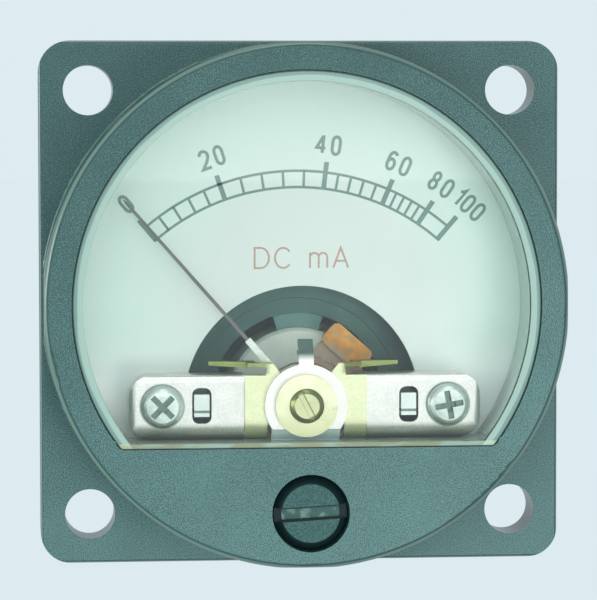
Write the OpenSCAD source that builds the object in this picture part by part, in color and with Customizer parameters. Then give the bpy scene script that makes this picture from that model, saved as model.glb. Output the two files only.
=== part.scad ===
// Moving-coil panel meter: square flange, round bezel with a D-shaped window, dial and
// a movement whose front bridge stays open to view in front of the dial.
// Every module draws lying down: x to the right, y up the dial, z out of the front,
// with z = 0 on the flange's panel face. stand() then turns the front towards -Y.

/* [Flange] */
// Width and height of the square flange
flange_w = 45; // [44.8:0.2:50]
// Thickness of the flange
flange_t = 4; // [3.4:0.1:5]
// Radius of the flange's corners
flange_corner_r = 2.7; // [1.5:0.1:3.5]
// Rounding of the flange's front edges
flange_edge_r = 0.35; // [0.1:0.05:0.6]
// Distance from the flange's edges to the centres of the mounting holes
hole_inset = 4.25; // [3.5:0.05:4.5]
// Diameter of the mounting holes
hole_d = 4.3; // [3:0.1:4.5]

/* [Bezel] */
// Distance from the flange's edges to the round bezel
bezel_margin = 0.2; // [0.1:0.05:0.7]
// Height of the bezel above the flange
bezel_h = 7.4; // [7.2:0.1:9]
// Rounding of the bezel's front edge
bezel_edge_r = 0.6; // [0.2:0.1:1]
// Size of the small fillet at the bezel's foot
bezel_foot_r = 0.2; // [0.1:0.05:0.8]
// Width of the bezel's rim round the window opening
bezel_rim = 2.4; // [2.2:0.05:2.8]
// Distance from the pivot axis down to the opening's straight edge
chord_below_pivot = 3.43; // [3.33:0.01:3.83]
// Radius of the two corners of the opening
chord_corner_r = 0.8; // [0.4:0.1:1.5]
// Thickness of the apron below the window
apron_t = 1.8; // [1.6:0.1:2.2]

/* [Window] */
// Thickness of the window's face
window_t = 0.9; // [0.6:0.05:1]
// Thickness of the window's round skirt
skirt_t = 0.87; // [0.6:0.05:1.1]
// Thickness of the window's straight wall
chord_wall_t = 0.4; // [0.3:0.02:0.44]
// How far the window's face lies below the bezel's
window_recess = 0.1; // [0:0.05:0.3]

/* [Dial] */
// Height of the dial's face above the flange's front
dial_rise = 1; // [0.6:0.1:1.2]
// Thickness of the dial plate
dial_t = 0.5; // [0.3:0.1:0.8]
// Distance from the yoke ring out to the rim of the dial's cut-out
cut_margin = 1.45; // [1.05:0.05:2.05]

/* [Rear housing] */
// Step from the bezel's bore in to the barrel that goes through the panel
barrel_step = 1.25; // [0.95:0.05:1.35]
// Length of the barrel behind the panel
barrel_len = 19.5; // [19.2:0.1:30]
// Thickness of the barrel's wall
housing_wall = 1.5; // [1:0.1:1.6]
// Thickness of the barrel's floor
floor_t = 2; // [1.5:0.1:2.2]

/* [Movement] */
// Distance from the window's centre down to the pivot axis
pivot_drop = 8.57; // [8.5:0.01:8.65]
// Air gap between the magnet core and the yoke ring
air_gap = 1.3; // [1.2:0.05:1.85]
// Chamfer round the front of the magnet core
core_edge = 0.25; // [0.1:0.05:0.5]
// Length of the magnet core
core_len = 7; // [6:0.1:7.2]
// Gap between the yoke ring and the wall of the barrel
yoke_gap = 0.18; // [0.13:0.01:0.33]
// Radial thickness of the yoke ring
yoke_t = 1.3; // [1:0.05:1.35]
// Length of the yoke ring
yoke_len = 8.2; // [7:0.1:8.4]
// Width of the coil across the core
coil_w = 4.4; // [3:0.1:4.8]
// Angle between the coil and the pointer, less a right angle
coil_turn = 7; // [0:1:8]
// Gap between the pointer's tip and the window's skirt
tip_gap = 1.1; // [0.5:0.05:4.3]
// Width of the pointer at its foot
pointer_w = 0.34; // [0.3:0.02:0.5]
// Length of the sleeve that holds the pointer
sleeve_len = 7.3; // [4:0.1:9]
// Angle of the pointer left of vertical at zero
pointer_zero = 41.3; // [38:0.1:43]
// Angle that the pointer swings through from zero to its upper stop
pointer_swing = 84; // [80:0.5:86]

/* [Front bridge] */
// Gap between the ends of the steel bridge and the window's skirt
bridge_end_gap = 1.8; // [1.35:0.05:1.85]
// Height of the steel bridge on the dial
bridge_w = 5.5; // [5.2:0.1:5.5]
// Depth of the bridge from the dial to its front face
bridge_rise = 3.4; // [3.3:0.05:3.5]
// Thickness of the bridge's sheet
bridge_t = 0.5; // [0.4:0.05:0.6]
// Bend radius along the bridge's lower edge
bridge_bend_r = 1.4; // [1:0.05:1.5]
// Bend radius along the bridge's upper edge and ends
bridge_edge_r = 0.6; // [0.5:0.05:1]
// Distance from the yoke ring out to the bridge screws
post_step = 3.47; // [3.25:0.01:3.55]
// Width of the brass saddle
saddle_w = 10.4; // [9.8:0.1:10.6]
// Thickness of the saddle's sheet
saddle_t = 0.3; // [0.2:0.02:0.34]
// Width of the saddle's two ears
ear_w = 1.2; // [0.8:0.05:1.3]
// Height of the saddle's ears above the bridge
ear_h = 0.98; // [0.8:0.02:1.2]
// Height of the bars that the saddle's ears carry
bar_h = 0.55; // [0.3:0.05:0.6]
// Diameter of the bridge screws' heads
screw_head_d = 3.6; // [3:0.05:3.8]
// Height of the bridge screws' heads
screw_head_h = 0.95; // [0.7:0.05:1.1]
// Thread diameter of the bridge screws
screw_d = 2; // [1.6:0.1:2.2]
// Width across the flats of the bridge posts
post_af = 3.2; // [2.8:0.1:3.4]

/* [Front pivot] */
// Diameter of the jewel screws
jewel_screw_d = 2.9; // [2.6:0.1:3]
// Diameter of the front lock nut
jewel_nut_d = 5.3; // [4.6:0.1:5.6]
// Outer diameter of the zero lever's ring
lever_ring_d = 7.04; // [6.4:0.02:7.2]
// Thickness of the zero lever
lever_t = 0.4; // [0.3:0.02:0.44]

/* [Zero adjuster] */
// Distance of the adjuster's axis below the middle of the apron
adjuster_low = 0.4; // [0.15:0.05:0.45]
// Sideways offset of the adjuster's axis
adjuster_x = 0.2; // [-0.3:0.05:0.3]
// Diameter of the adjuster's head
adjuster_d = 6.5; // [6:0.1:6.6]
// Width of the sloping ring round the adjuster's face
adjuster_bevel = 0.74; // [0.4:0.02:0.8]
// Width of the adjuster's slot
adjuster_slot_w = 1.2; // [0.8:0.05:1.4]
// Throw of the adjuster's eccentric pin
adjuster_throw = 0.8; // [0.6:0.05:0.85]
// Diameter of the adjuster's eccentric pin
adjuster_pin_d = 1; // [0.8:0.05:1.1]

/* [Terminals] */
// Distance between the terminal studs
stud_spacing = 19; // [17:0.5:20]
// Height of the studs above the housing's centre
stud_lift = 4; // [3:0.5:5]
// Thread diameter of the studs
stud_d = 3; // [2.5:0.1:3]
// Length of the studs behind the housing
stud_len = 9; // [7.6:0.1:14]
// Height of the terminal nuts
stud_nut_h = 2.4; // [1.8:0.1:2.6]
// Thickness of the terminal washers
washer_t = 0.5; // [0.3:0.05:0.6]
// Thickness of the solder lugs
lug_t = 0.4; // [0.3:0.05:0.6]
// Width of the solder lugs' tails
lug_w = 2.2; // [1.8:0.1:3]
// Length of the solder lugs from the stud's axis
lug_len = 8.2; // [6:0.1:10]

/* [Shunt] */
// Diameter of the shunt bobbin's flanges
shunt_d = 7.2; // [6:0.1:8]
// Diameter of the shunt bobbin's core
shunt_core_d = 3.6; // [3:0.1:4.4]
// Height of the shunt bobbin
shunt_h = 6; // [4:0.1:7]
// Thickness of the shunt bobbin's flanges
shunt_flange_t = 0.8; // [0.5:0.05:1.2]
// Height of the shunt above the housing's centre
shunt_lift = 9; // [7:0.1:10]

/* [Hidden] */
$fn = 72;
eps = 0.01;

// Clearances
fit = 0.05;          // fixed parts that slide together on assembly
glue = 0.03;         // cemented joints
run = 0.04;          // running fit of a shaft in its hole
swing_gap = 0.25;    // air round the moving coil and pointer

// Levels along the depth axis
dial_z = flange_t + dial_rise;
front_z = flange_t + bezel_h;
window_z = front_z - window_recess;
bridge_z = dial_z + bridge_rise;
saddle_z = bridge_z + saddle_t;
lever_z = saddle_z + fit;
nut_z = lever_z + lever_t + fit;
nut_t = 0.35;
jewel_screw_z = nut_z + nut_t + 0.3;
pointer_z = dial_z + 1.3;
pointer_t = 0.35;
spring_z = pointer_z + pointer_t + 0.45;
spring_h = 0.3;
core_z = dial_z - 3.4;
core_back_z = core_z - core_len;
coil_bar_t = 1.3;
coil_front_z = core_z + swing_gap;
coil_back_z = core_back_z - swing_gap;
coil_wall = 0.25;
frame_t = 1.5;
frame_z = coil_back_z - coil_bar_t - 1.4;
floor_z = -barrel_len + floor_t;
boss_z = -barrel_len - 0.6;
washer_z = boss_z - washer_t;
lug_z = washer_z - lug_t;
rear_spring_z = frame_z + 0.5;
yoke_z = core_z - 0.5;

// Radii and widths that follow from the sizes above
hole_spacing = flange_w - 2 * hole_inset;
bezel_r = flange_w / 2 - bezel_margin;
opening_r = bezel_r - bezel_rim;
chord_drop = pivot_drop + chord_below_pivot;
dial_r = opening_r + 0.3;
bore_r = dial_r + fit;
barrel_r = bore_r - barrel_step;
barrel_in_r = barrel_r - housing_wall;
window_r = opening_r - fit;
window_in_r = window_r - skirt_t;
window_chord = chord_drop - fit;
yoke_r = barrel_in_r - pivot_drop - yoke_gap;
yoke_in_r = yoke_r - yoke_t;
core_r = yoke_in_r - air_gap;
cut_r = yoke_r + cut_margin;
coil_in_r = core_r + swing_gap;
coil_out_r = yoke_in_r - swing_gap;
boss_r = 2.3;
hub_y = -pivot_drop;
bridge_low_y = -(window_chord - chord_wall_t - 0.07);
bridge_y = bridge_low_y + bridge_w / 2;
bridge_top_y = bridge_low_y + bridge_w;
bridge_len = 2 * (sqrt(pow(window_in_r, 2) - pow(bridge_y, 2)) - bridge_end_gap);
post_x = yoke_r + post_step;
post_y = hub_y - 0.03;
tongue_w = 5.8;
notch_w = tongue_w + 0.8;
adjuster_drop = (chord_drop + bezel_r) / 2 + adjuster_low;
adjuster_in_r = adjuster_d / 2 + fit;
tip_r = window_in_r - tip_gap;
tip_side = pivot_drop * sin(pointer_zero);
pointer_len = pivot_drop * cos(pointer_zero) + sqrt(pow(tip_r, 2) - pow(tip_side, 2));
shaft_r = 1.6;
clip_r = shaft_r + 0.65;
lever_arm = adjuster_drop - pivot_drop;
tab_tip = lever_ring_d / 2 + 1.08;

// The zero lever steps down from its ring to its fork between these two distances
lever_bend = 2;
lever_drop = 2.95;
lever_low_z = spring_z + spring_h + 0.15;

// Distance below the hub at which the underside of the step passes level z
function step_under(z) =
    lever_bend - 0.3 + (lever_z - z) / (lever_z - lever_low_z) * (lever_drop - lever_bend + 0.05);

module stand() {
    rotate([90, 0, 0]) children();
}

module at_hub(z = 0) {
    translate([0, hub_y, z]) children();
}

module round_rect(w, h, r) {
    square([w - 2 * r, h], center = true);
    square([w, h - 2 * r], center = true);
    for (x = [-1, 1], y = [-1, 1])
        translate([x * (w / 2 - r), y * (h / 2 - r)]) circle(r);
}

// The section of an eased plate: a bar with its two front corners rounded by e and low_e
module eased_section(w, t, e, low_e) {
    translate([-w / 2, 0]) square([w / 2, t - low_e]);
    translate([-eps, 0]) square([w / 2 + eps, t - e]);
    translate([-w / 2 + low_e, 0]) square([w - e - low_e, t]);
    translate([w / 2 - e, t - e]) circle(e);
    translate([-w / 2 + low_e, t - low_e]) circle(low_e);
}

// A plate with rounded corners whose front edges are rounded too, the lower one by low_e
module eased_plate(w, h, t, r, e, low_e) {
    intersection() {
        linear_extrude(t) round_rect(w, h, r);
        rotate([90, 0, 90]) translate([0, 0, -w]) linear_extrude(2 * w) eased_section(h, t, e, low_e);
        rotate([90, 0, 0]) translate([0, 0, -h]) linear_extrude(2 * h) eased_section(w, t, e, e);
    }
}

// A disc with a straight lower edge and rounded lower corners
module d_shape(r, drop, corner) {
    inner = sqrt(pow(r - corner, 2) - pow(drop - corner, 2));
    intersection() {
        circle(r, $fn = 144);
        union() {
            translate([-r, -drop + corner]) square([2 * r, r + drop]);
            translate([-inner, -drop]) square([2 * inner, 2 * corner]);
            for (s = [-1, 1])
                translate([s * inner, -drop + corner]) circle(corner);
        }
    }
}

// One sector of a disc, centred on the y axis
module sector(r, half_angle) {
    polygon([[0, 0], [-r * tan(half_angle), r], [r * tan(half_angle), r]]);
}

// A flat spiral strip from r0 to r1 with the given turns
module spiral(r0, r1, turns, t, h) {
    steps = 20;
    n = turns * steps;
    function at(i, s) = (r0 + (r1 - r0) * i / n + s * t / 2) * [cos(i * 360 / steps), sin(i * 360 / steps)];
    linear_extrude(h)
        polygon(concat([for (i = [0:n]) at(i, 1)], [for (i = [n:-1:0]) at(i, -1)]));
}

/* ---- Case ---- */

module bezel_profile() {
    r = bezel_r;
    e = bezel_edge_r;
    square([r - e, bezel_h]);
    square([r, bezel_h - e]);
    translate([r - e, bezel_h - e]) circle(e);
    difference() {
        translate([r - eps, 0]) square([bezel_foot_r + eps, bezel_foot_r]);
        translate([r + bezel_foot_r, bezel_foot_r]) circle(bezel_foot_r);
    }
}

module mounting_holes() {
    for (x = [-1, 1], y = [-1, 1])
        translate([x * hole_spacing / 2, y * hole_spacing / 2, -1])
            cylinder(d = hole_d, h = flange_t + 2);
}

module front_bezel() {
    color([0.20, 0.32, 0.32]) stand() difference() {
        union() {
            eased_plate(flange_w, flange_w, flange_t, flange_corner_r, flange_edge_r, flange_edge_r);
            intersection() {
                translate([0, 0, flange_t]) rotate_extrude($fn = 144) bezel_profile();
                linear_extrude(front_z + 1)
                    round_rect(flange_w - 2 * flange_edge_r, flange_w - 2 * flange_edge_r,
                               flange_corner_r - flange_edge_r);
            }
        }
        mounting_holes();
        translate([0, 0, -1]) cylinder(r = bore_r, h = dial_z + 1, $fn = 144);
        translate([0, 0, dial_z - eps])
            cylinder(r = opening_r + fit, h = front_z - apron_t - dial_z + eps, $fn = 144);
        translate([0, 0, front_z - apron_t - eps])
            linear_extrude(2 * apron_t) d_shape(opening_r, chord_drop, chord_corner_r);
        translate([adjuster_x, -adjuster_drop, 0]) {
            translate([0, 0, front_z - apron_t + 0.65]) cylinder(r = adjuster_in_r, h = apron_t);
            cylinder(r = shaft_r + fit, h = front_z + 1);
            translate([0, 0, front_z - apron_t - 1]) cylinder(r = clip_r + 2 * fit, h = 1);
        }
    }
}

module window() {
    color([0.85, 0.93, 0.90, 0.35]) stand() difference() {
        translate([0, 0, dial_z])
            linear_extrude(window_z - dial_z) d_shape(window_r, window_chord, chord_corner_r);
        translate([0, 0, dial_z - 1])
            linear_extrude(window_z - window_t - dial_z + 1)
                d_shape(window_in_r, window_chord - chord_wall_t, chord_corner_r / 2);
        translate([-notch_w / 2, -window_chord - 1, dial_z - 1])
            cube([notch_w, 2, lever_low_z + lever_t + 0.3 - dial_z + 1]);
    }
}

module dial_plate() {
    slot_h = 4;
    color([0.83, 0.93, 0.90]) stand() translate([0, 0, dial_z - dial_t]) linear_extrude(dial_t)
        difference() {
            circle(dial_r, $fn = 144);
            translate([0, hub_y - 0.2]) circle(cut_r, $fn = 144);
            translate([0, post_y]) round_rect(2 * post_x + slot_h, slot_h, slot_h / 2 - eps);
        }
}

module rear_housing() {
    rim_z = dial_z - dial_t;
    in_r = barrel_in_r;
    color([0.17, 0.22, 0.22]) stand() difference() {
        union() {
            rotate_extrude($fn = 144) {
                translate([0, -barrel_len]) square([barrel_r - 0.6, floor_t]);
                translate([0, -barrel_len + 0.6]) square([barrel_r, floor_t - 0.6]);
                translate([barrel_r - 0.6, -barrel_len + 0.6]) circle(0.6);
                translate([in_r, -barrel_len + 0.6]) square([housing_wall, barrel_len + rim_z - 0.6]);
                translate([in_r, 0]) square([bore_r - glue - in_r, rim_z]);
            }
            for (s = [-1, 1]) {
                translate([s * post_x, post_y, floor_z - eps])
                    cylinder(r = boss_r, h = frame_z - frame_t - floor_z + eps);
                translate([s * stud_spacing / 2, stud_lift, boss_z])
                    cylinder(d = stud_d + 4.4, h = floor_t);
            }
        }
        for (s = [-1, 1]) {
            translate([s * post_x, post_y, frame_z - frame_t - 3.4])
                cylinder(d = screw_d + 2 * glue, h = 10);
            translate([s * stud_spacing / 2, stud_lift, -barrel_len - 2])
                cylinder(d = stud_d + 2 * fit, h = floor_t + 4);
        }
    }
}

/* ---- Fixed parts of the movement ---- */

module yoke_ring() {
    color([0.35, 0.38, 0.38]) stand() at_hub() {
        difference() {
            translate([0, 0, yoke_z - yoke_len]) cylinder(r = yoke_r, h = yoke_len);
            translate([0, 0, yoke_z - yoke_len - 1]) cylinder(r = yoke_in_r, h = yoke_len + 2);
        }
        for (s = [-1, 1])
            translate([s * (yoke_r + 0.1) - 0.65, -0.95, yoke_z - 2])
                cube([1.3, 1.9, bridge_z - 0.1 - yoke_z + 2]);
    }
}

module core_magnet() {
    color([0.62, 0.65, 0.63]) stand() at_hub(core_back_z) {
        cylinder(r = core_r, h = core_len - core_edge);
        translate([0, 0, core_len - core_edge - eps])
            cylinder(r1 = core_r, r2 = core_r - core_edge, h = core_edge + eps);
    }
}

module movement_frame() {
    pillar_angle = 17;
    color([0.24, 0.26, 0.27]) stand() difference() {
        union() {
            at_hub(frame_z - frame_t) cylinder(r = yoke_r, h = frame_t);
            translate([0, 0, frame_z - frame_t]) linear_extrude(frame_t) intersection() {
                translate([0, post_y])
                    round_rect(2 * post_x + 2 * boss_r - 0.2, 2 * boss_r - 0.2, boss_r - 0.1 - eps);
                circle(barrel_in_r - yoke_gap, $fn = 144);
            }
            at_hub(frame_z) linear_extrude(yoke_z - frame_z) for (a = [0, 180]) rotate(a)
                intersection() {
                    difference() {
                        circle(yoke_in_r - glue);
                        circle(core_r + glue);
                    }
                    sector(yoke_r, pillar_angle);
                }
            at_hub(frame_z - frame_t - 1.2) cylinder(r = 2.6, h = 1.3);
        }
        at_hub(frame_z - frame_t - 3) cylinder(d = jewel_screw_d + 2 * glue, h = 6);
        for (s = [-1, 1])
            translate([s * post_x, post_y, frame_z - frame_t - 1])
                cylinder(d = screw_d + 2 * fit, h = frame_t + 2);
    }
    color([0.24, 0.26, 0.27]) stand() at_hub(frame_z) difference() {
        cylinder(r = yoke_r, h = yoke_z - yoke_len - frame_z);
        translate([0, 0, -1]) cylinder(r = yoke_in_r, h = 20);
    }
}

// The saddle's section in the bridge's own frame: the web, and the bend round its lower edge
module saddle_outline(inset, lift) {
    translate([inset / 2, 0])
        eased_section(bridge_w - inset, bridge_rise + lift, 0.05 + lift / 4, bridge_bend_r + lift);
}

module front_bridge() {
    wall = bridge_t;
    slot_x = yoke_r + 0.1;
    end_r = bridge_w * 0.35;
    seat_w = saddle_w + 2 * fit;
    color([0.80, 0.83, 0.81]) stand() translate([0, bridge_y, dial_z]) difference() {
        eased_plate(bridge_len, bridge_w, bridge_rise, end_r, bridge_edge_r, bridge_bend_r);
        translate([0, 0, -1])
            eased_plate(bridge_len - 2 * wall, bridge_w - 2 * wall, bridge_rise - wall + 1,
                        end_r - wall, 0.1, bridge_bend_r - wall);
        translate([-saddle_w / 2, -bridge_w, -1])
            cube([saddle_w, 2 * bridge_w, bridge_rise - wall + 1]);
        rotate([90, 0, 90]) translate([0, 0, -seat_w / 2]) linear_extrude(seat_w) difference() {
            translate([-bridge_w, bridge_rise - wall - eps]) square([bridge_w, wall + 1]);
            saddle_outline(saddle_t + fit, 0);
            translate([-fit, 0]) square([bridge_w, bridge_rise + 2]);
        }
        for (s = [-1, 1]) {
            translate([s * slot_x, hub_y - bridge_y, 0])
                linear_extrude(2 * bridge_rise) round_rect(1.65, 3.05, 0.6);
            translate([s * post_x, post_y - bridge_y, 0])
                cylinder(d = screw_d + 2 * fit, h = 2 * bridge_rise);
        }
        translate([0, hub_y - bridge_y, 0])
            cylinder(d = jewel_screw_d + 2 * glue, h = 2 * bridge_rise);
        translate([-notch_w / 2, -bridge_w, 0])
            cube([notch_w, bridge_w + hub_y - bridge_y - step_under(bridge_z) + 0.3, 2 * bridge_rise]);
    }
}

module bridge_saddle() {
    ear_top = bridge_top_y + ear_h;
    ear_in = 2.2;
    ear_out = ear_in + ear_w;
    tip_in = ear_in + ear_w / 2;
    tip_out = ear_out - 0.15;
    blade_z = pointer_z + pointer_t + 0.3;
    stop_x = (ear_top - hub_y) * tan(pointer_swing - pointer_zero) + 0.86;
    bar_in = stop_x + 0.75;
    bar_out = yoke_r - 0.6;
    hem = bridge_bend_r + 0.5;
    color([0.88, 0.80, 0.45]) stand() {
        difference() {
            translate([0, bridge_y, dial_z]) rotate([90, 0, 90]) translate([0, 0, -saddle_w / 2])
                linear_extrude(saddle_w) difference() {
                    saddle_outline(0, saddle_t);
                    saddle_outline(saddle_t, 0);
                    translate([-bridge_w, -1]) square([2 * bridge_w, bridge_rise - hem + 1]);
                    translate([0, -1]) square([bridge_w, bridge_rise + 1]);
                }
            at_hub(bridge_z - 1) cylinder(d = jewel_screw_d + 0.2, h = 3);
            translate([-notch_w / 2, bridge_low_y - 1, dial_z])
                cube([notch_w, hub_y - bridge_low_y + 1 - step_under(saddle_z) + 0.3, bridge_rise + 1]);
        }
        for (s = [-1, 1]) scale([s, 1, 1]) {
            translate([0, 0, bridge_z]) linear_extrude(saddle_t)
                polygon([[ear_in, bridge_top_y - 0.2], [ear_out, bridge_top_y - 0.2],
                         [ear_out, bridge_top_y + 0.15], [tip_out, ear_top],
                         [tip_in, ear_top], [ear_in, bridge_top_y + 0.2]]);
            translate([0, ear_top, 0]) rotate([90, 0, 0]) linear_extrude(saddle_t)
                polygon([[tip_in, saddle_z], [tip_out, saddle_z], [bar_in, saddle_z - 1],
                         [bar_in, dial_z - 0.2], [stop_x, dial_z - 0.2],
                         [stop_x, blade_z], [tip_in, blade_z + 0.5]]);
            translate([0, ear_top, dial_z - 0.2]) linear_extrude(1.5)
                polygon([[bar_in - 0.1, -bar_h], [bar_out, -bar_h / 2], [bar_out, 0.05], [bar_in - 0.1, 0]]);
        }
    }
}

module bridge_post(s) {
    thread_len = 3.2;
    color([0.70, 0.73, 0.70]) stand() translate([s * post_x, post_y, 0]) {
        difference() {
            translate([0, 0, frame_z])
                cylinder(d = post_af / cos(30), h = bridge_z - bridge_t - frame_z, $fn = 6);
            translate([0, 0, bridge_z - bridge_t - 5])
                cylinder(d = screw_d + 2 * glue, h = 6);
        }
        translate([0, 0, frame_z - frame_t - thread_len])
            cylinder(d = screw_d, h = frame_t + thread_len + eps);
    }
}

module bridge_screw(s, turn) {
    recess_w = screw_head_d * 0.14;
    recess_l = screw_head_d * 0.68;
    head_r = screw_head_d / 2;
    face_r = head_r * 0.87;
    color([0.84, 0.86, 0.83]) stand() translate([s * post_x, post_y, bridge_z]) {
        difference() {
            rotate_extrude() polygon([
                [0, 0], [head_r, 0], [head_r, screw_head_h * 0.3], [face_r, screw_head_h * 0.8],
                [face_r * 0.86, screw_head_h * 0.94], [face_r * 0.6, screw_head_h], [0, screw_head_h]]);
            for (a = [0, 90]) rotate(turn + a) {
                translate([-recess_l / 2, -recess_w / 2, screw_head_h * 0.62])
                    cube([recess_l, recess_w, 1]);
                translate([-recess_l / 4, -recess_w / 2, screw_head_h * 0.3])
                    cube([recess_l / 2, recess_w, 1]);
            }
        }
        translate([0, 0, -4.6]) cylinder(d = screw_d, h = 4.6 + eps);
    }
}

module jewel_screw_body(len) {
    slot_w = jewel_screw_d * 0.18;
    slot_l = jewel_screw_d * 0.86;
    bevel = jewel_screw_d * 0.13;
    difference() {
        union() {
            cylinder(d = jewel_screw_d, h = len - bevel);
            translate([0, 0, len - bevel - eps])
                cylinder(r1 = jewel_screw_d / 2, r2 = jewel_screw_d / 2 - bevel, h = bevel + eps);
        }
        translate([0, 0, -eps]) cylinder(d = 1.6 + 2 * glue, h = 0.7);
        translate([-slot_l / 2, -slot_w / 2, len - 0.55]) cube([slot_l, slot_w, 1]);
    }
}

module jewel_body() {
    difference() {
        cylinder(d = 1.6, h = 0.6);
        translate([0, 0, -eps]) cylinder(r = 0.2 + run, h = 0.4);
    }
}

module front_jewel_screw() {
    low_z = saddle_z - 0.95;
    color([0.72, 0.68, 0.42]) stand() at_hub(low_z) rotate(-62)
        jewel_screw_body(jewel_screw_z - low_z);
}

module front_jewel() {
    color([0.72, 0.25, 0.35]) stand() at_hub(saddle_z - 0.95) jewel_body();
}

module jewel_nut() {
    color([0.93, 0.88, 0.60]) stand() at_hub() difference() {
        union() {
            translate([0, 0, nut_z]) cylinder(d = jewel_nut_d, h = nut_t);
            translate([0, 0, saddle_z]) cylinder(r = 1.85, h = nut_z - saddle_z + eps);
        }
        translate([0, 0, saddle_z - 1]) cylinder(d = jewel_screw_d + 2 * glue, h = 3);
    }
}

module rear_jewel_screw() {
    color([0.80, 0.72, 0.42]) stand() at_hub(frame_z + 0.15) mirror([0, 0, 1])
        jewel_screw_body(frame_t + 2.4);
}

module rear_jewel() {
    color([0.72, 0.25, 0.35]) stand() at_hub(frame_z + 0.15) mirror([0, 0, 1]) jewel_body();
}

module rear_lock_nut() {
    color([0.80, 0.72, 0.42]) stand() at_hub(frame_z - frame_t - 2.1) difference() {
        cylinder(d = jewel_nut_d * 0.9, h = 0.9, $fn = 6);
        translate([0, 0, -1]) cylinder(d = jewel_screw_d + 2 * glue, h = 4);
    }
}

module rear_hairspring() {
    color([0.45, 0.36, 0.24]) stand() at_hub(rear_spring_z) {
        spiral(1.1, 3.4, 5, 0.12, spring_h);
        translate([3.25, -0.4, frame_z - rear_spring_z]) cube([0.5, 0.8, 0.5 + spring_h]);
    }
}

/* ---- Shunt and terminals ---- */

module shunt_bobbin() {
    color([0.75, 0.70, 0.58]) stand() translate([0, shunt_lift, floor_z]) difference() {
        union() {
            cylinder(d = shunt_d, h = shunt_flange_t);
            cylinder(d = shunt_core_d, h = shunt_h);
            translate([0, 0, shunt_h - shunt_flange_t]) cylinder(d = shunt_d, h = shunt_flange_t);
        }
        translate([0, 0, -1]) cylinder(d = shunt_core_d * 0.45, h = shunt_h + 2);
    }
}

module shunt_winding() {
    low_z = floor_z + shunt_flange_t + glue;
    color([0.60, 0.40, 0.20]) stand() translate([0, shunt_lift, low_z]) difference() {
        cylinder(d = shunt_d * 0.86, h = shunt_h - 2 * shunt_flange_t - 2 * glue);
        translate([0, 0, -1]) cylinder(d = shunt_core_d + 2 * glue, h = shunt_h + 2);
    }
}

module terminal_place(s) {
    stand() translate([s * stud_spacing / 2, stud_lift, 0]) children();
}

module terminal_stud(s) {
    color([0.85, 0.78, 0.50]) terminal_place(s) {
        translate([0, 0, floor_z]) cylinder(r = stud_d / 2 + 1.1, h = 1.4);
        translate([0, 0, -barrel_len - stud_len])
            cylinder(d = stud_d, h = stud_len + barrel_len + floor_z + eps);
    }
}

module terminal_washer(s) {
    color([0.82, 0.84, 0.82]) terminal_place(s) translate([0, 0, washer_z]) difference() {
        cylinder(r = stud_d / 2 + 2, h = washer_t);
        translate([0, 0, -1]) cylinder(r = stud_d / 2 + fit, h = 3);
    }
}

module terminal_lug(s) {
    color([0.86, 0.88, 0.84]) terminal_place(s) translate([0, 0, lug_z]) rotate(-90) difference() {
        union() {
            cylinder(r = stud_d / 2 + 1.6, h = lug_t);
            translate([0, -lug_w / 2, 0]) cube([lug_len, lug_w, lug_t]);
            translate([lug_len, 0, 0]) cylinder(d = lug_w, h = lug_t);
        }
        translate([0, 0, -1]) cylinder(r = stud_d / 2 + fit, h = 3);
        translate([lug_len - 0.4, 0, -1]) cylinder(d = lug_w * 0.55, h = 3);
    }
}

module terminal_nut(s) {
    color([0.85, 0.78, 0.50]) terminal_place(s) translate([0, 0, lug_z - stud_nut_h]) difference() {
        cylinder(d = (stud_d + 2.5) / cos(30), h = stud_nut_h, $fn = 6);
        translate([0, 0, -1]) cylinder(d = stud_d + 2 * glue, h = stud_nut_h + 2);
    }
}

/* ---- Zero adjuster ---- */

module adjuster_place() {
    stand() translate([adjuster_x, -adjuster_drop, 0]) children();
}

module zero_adjuster() {
    head_r = adjuster_d / 2;
    bevel = adjuster_bevel;
    seat_z = front_z - apron_t + 0.65 + fit;
    head_top = front_z - 0.05;
    bevel_z = seat_z + 0.15;
    slot_w = adjuster_slot_w;
    pin_z = lever_low_z - 0.35;
    color([0.20, 0.30, 0.30]) adjuster_place() {
        difference() {
            union() {
                translate([0, 0, seat_z]) cylinder(r = head_r, h = bevel_z - seat_z);
                translate([0, 0, bevel_z - eps])
                    cylinder(r1 = head_r, r2 = head_r - bevel, h = head_top - bevel_z + eps);
                translate([0, 0, front_z - apron_t - 1.3]) cylinder(r = shaft_r, h = 2.2);
            }
            rotate(3.3) translate([-head_r - 1, -slot_w / 2, head_top - 0.75])
                cube([2 * head_r + 2, slot_w, 2]);
            translate([0, 0, front_z - apron_t - 0.4 - 2 * fit]) difference() {
                cylinder(r = clip_r, h = 0.4);
                translate([0, 0, -1]) cylinder(r = shaft_r - 0.35, h = 3);
            }
        }
        translate([0, adjuster_throw, pin_z])
            cylinder(d = adjuster_pin_d, h = front_z - apron_t - 1.3 - pin_z + eps);
    }
}

module adjuster_clip() {
    clip_z = front_z - apron_t - 0.4 - fit;
    color([0.72, 0.75, 0.73]) adjuster_place() translate([0, 0, clip_z]) difference() {
        cylinder(r = clip_r, h = 0.3);
        translate([0, 0, -1]) cylinder(r = shaft_r - 0.35 + glue, h = 3);
        translate([-0.9, -shaft_r - 2, -1]) cube([1.8, shaft_r + 2, 3]);
    }
}

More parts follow.
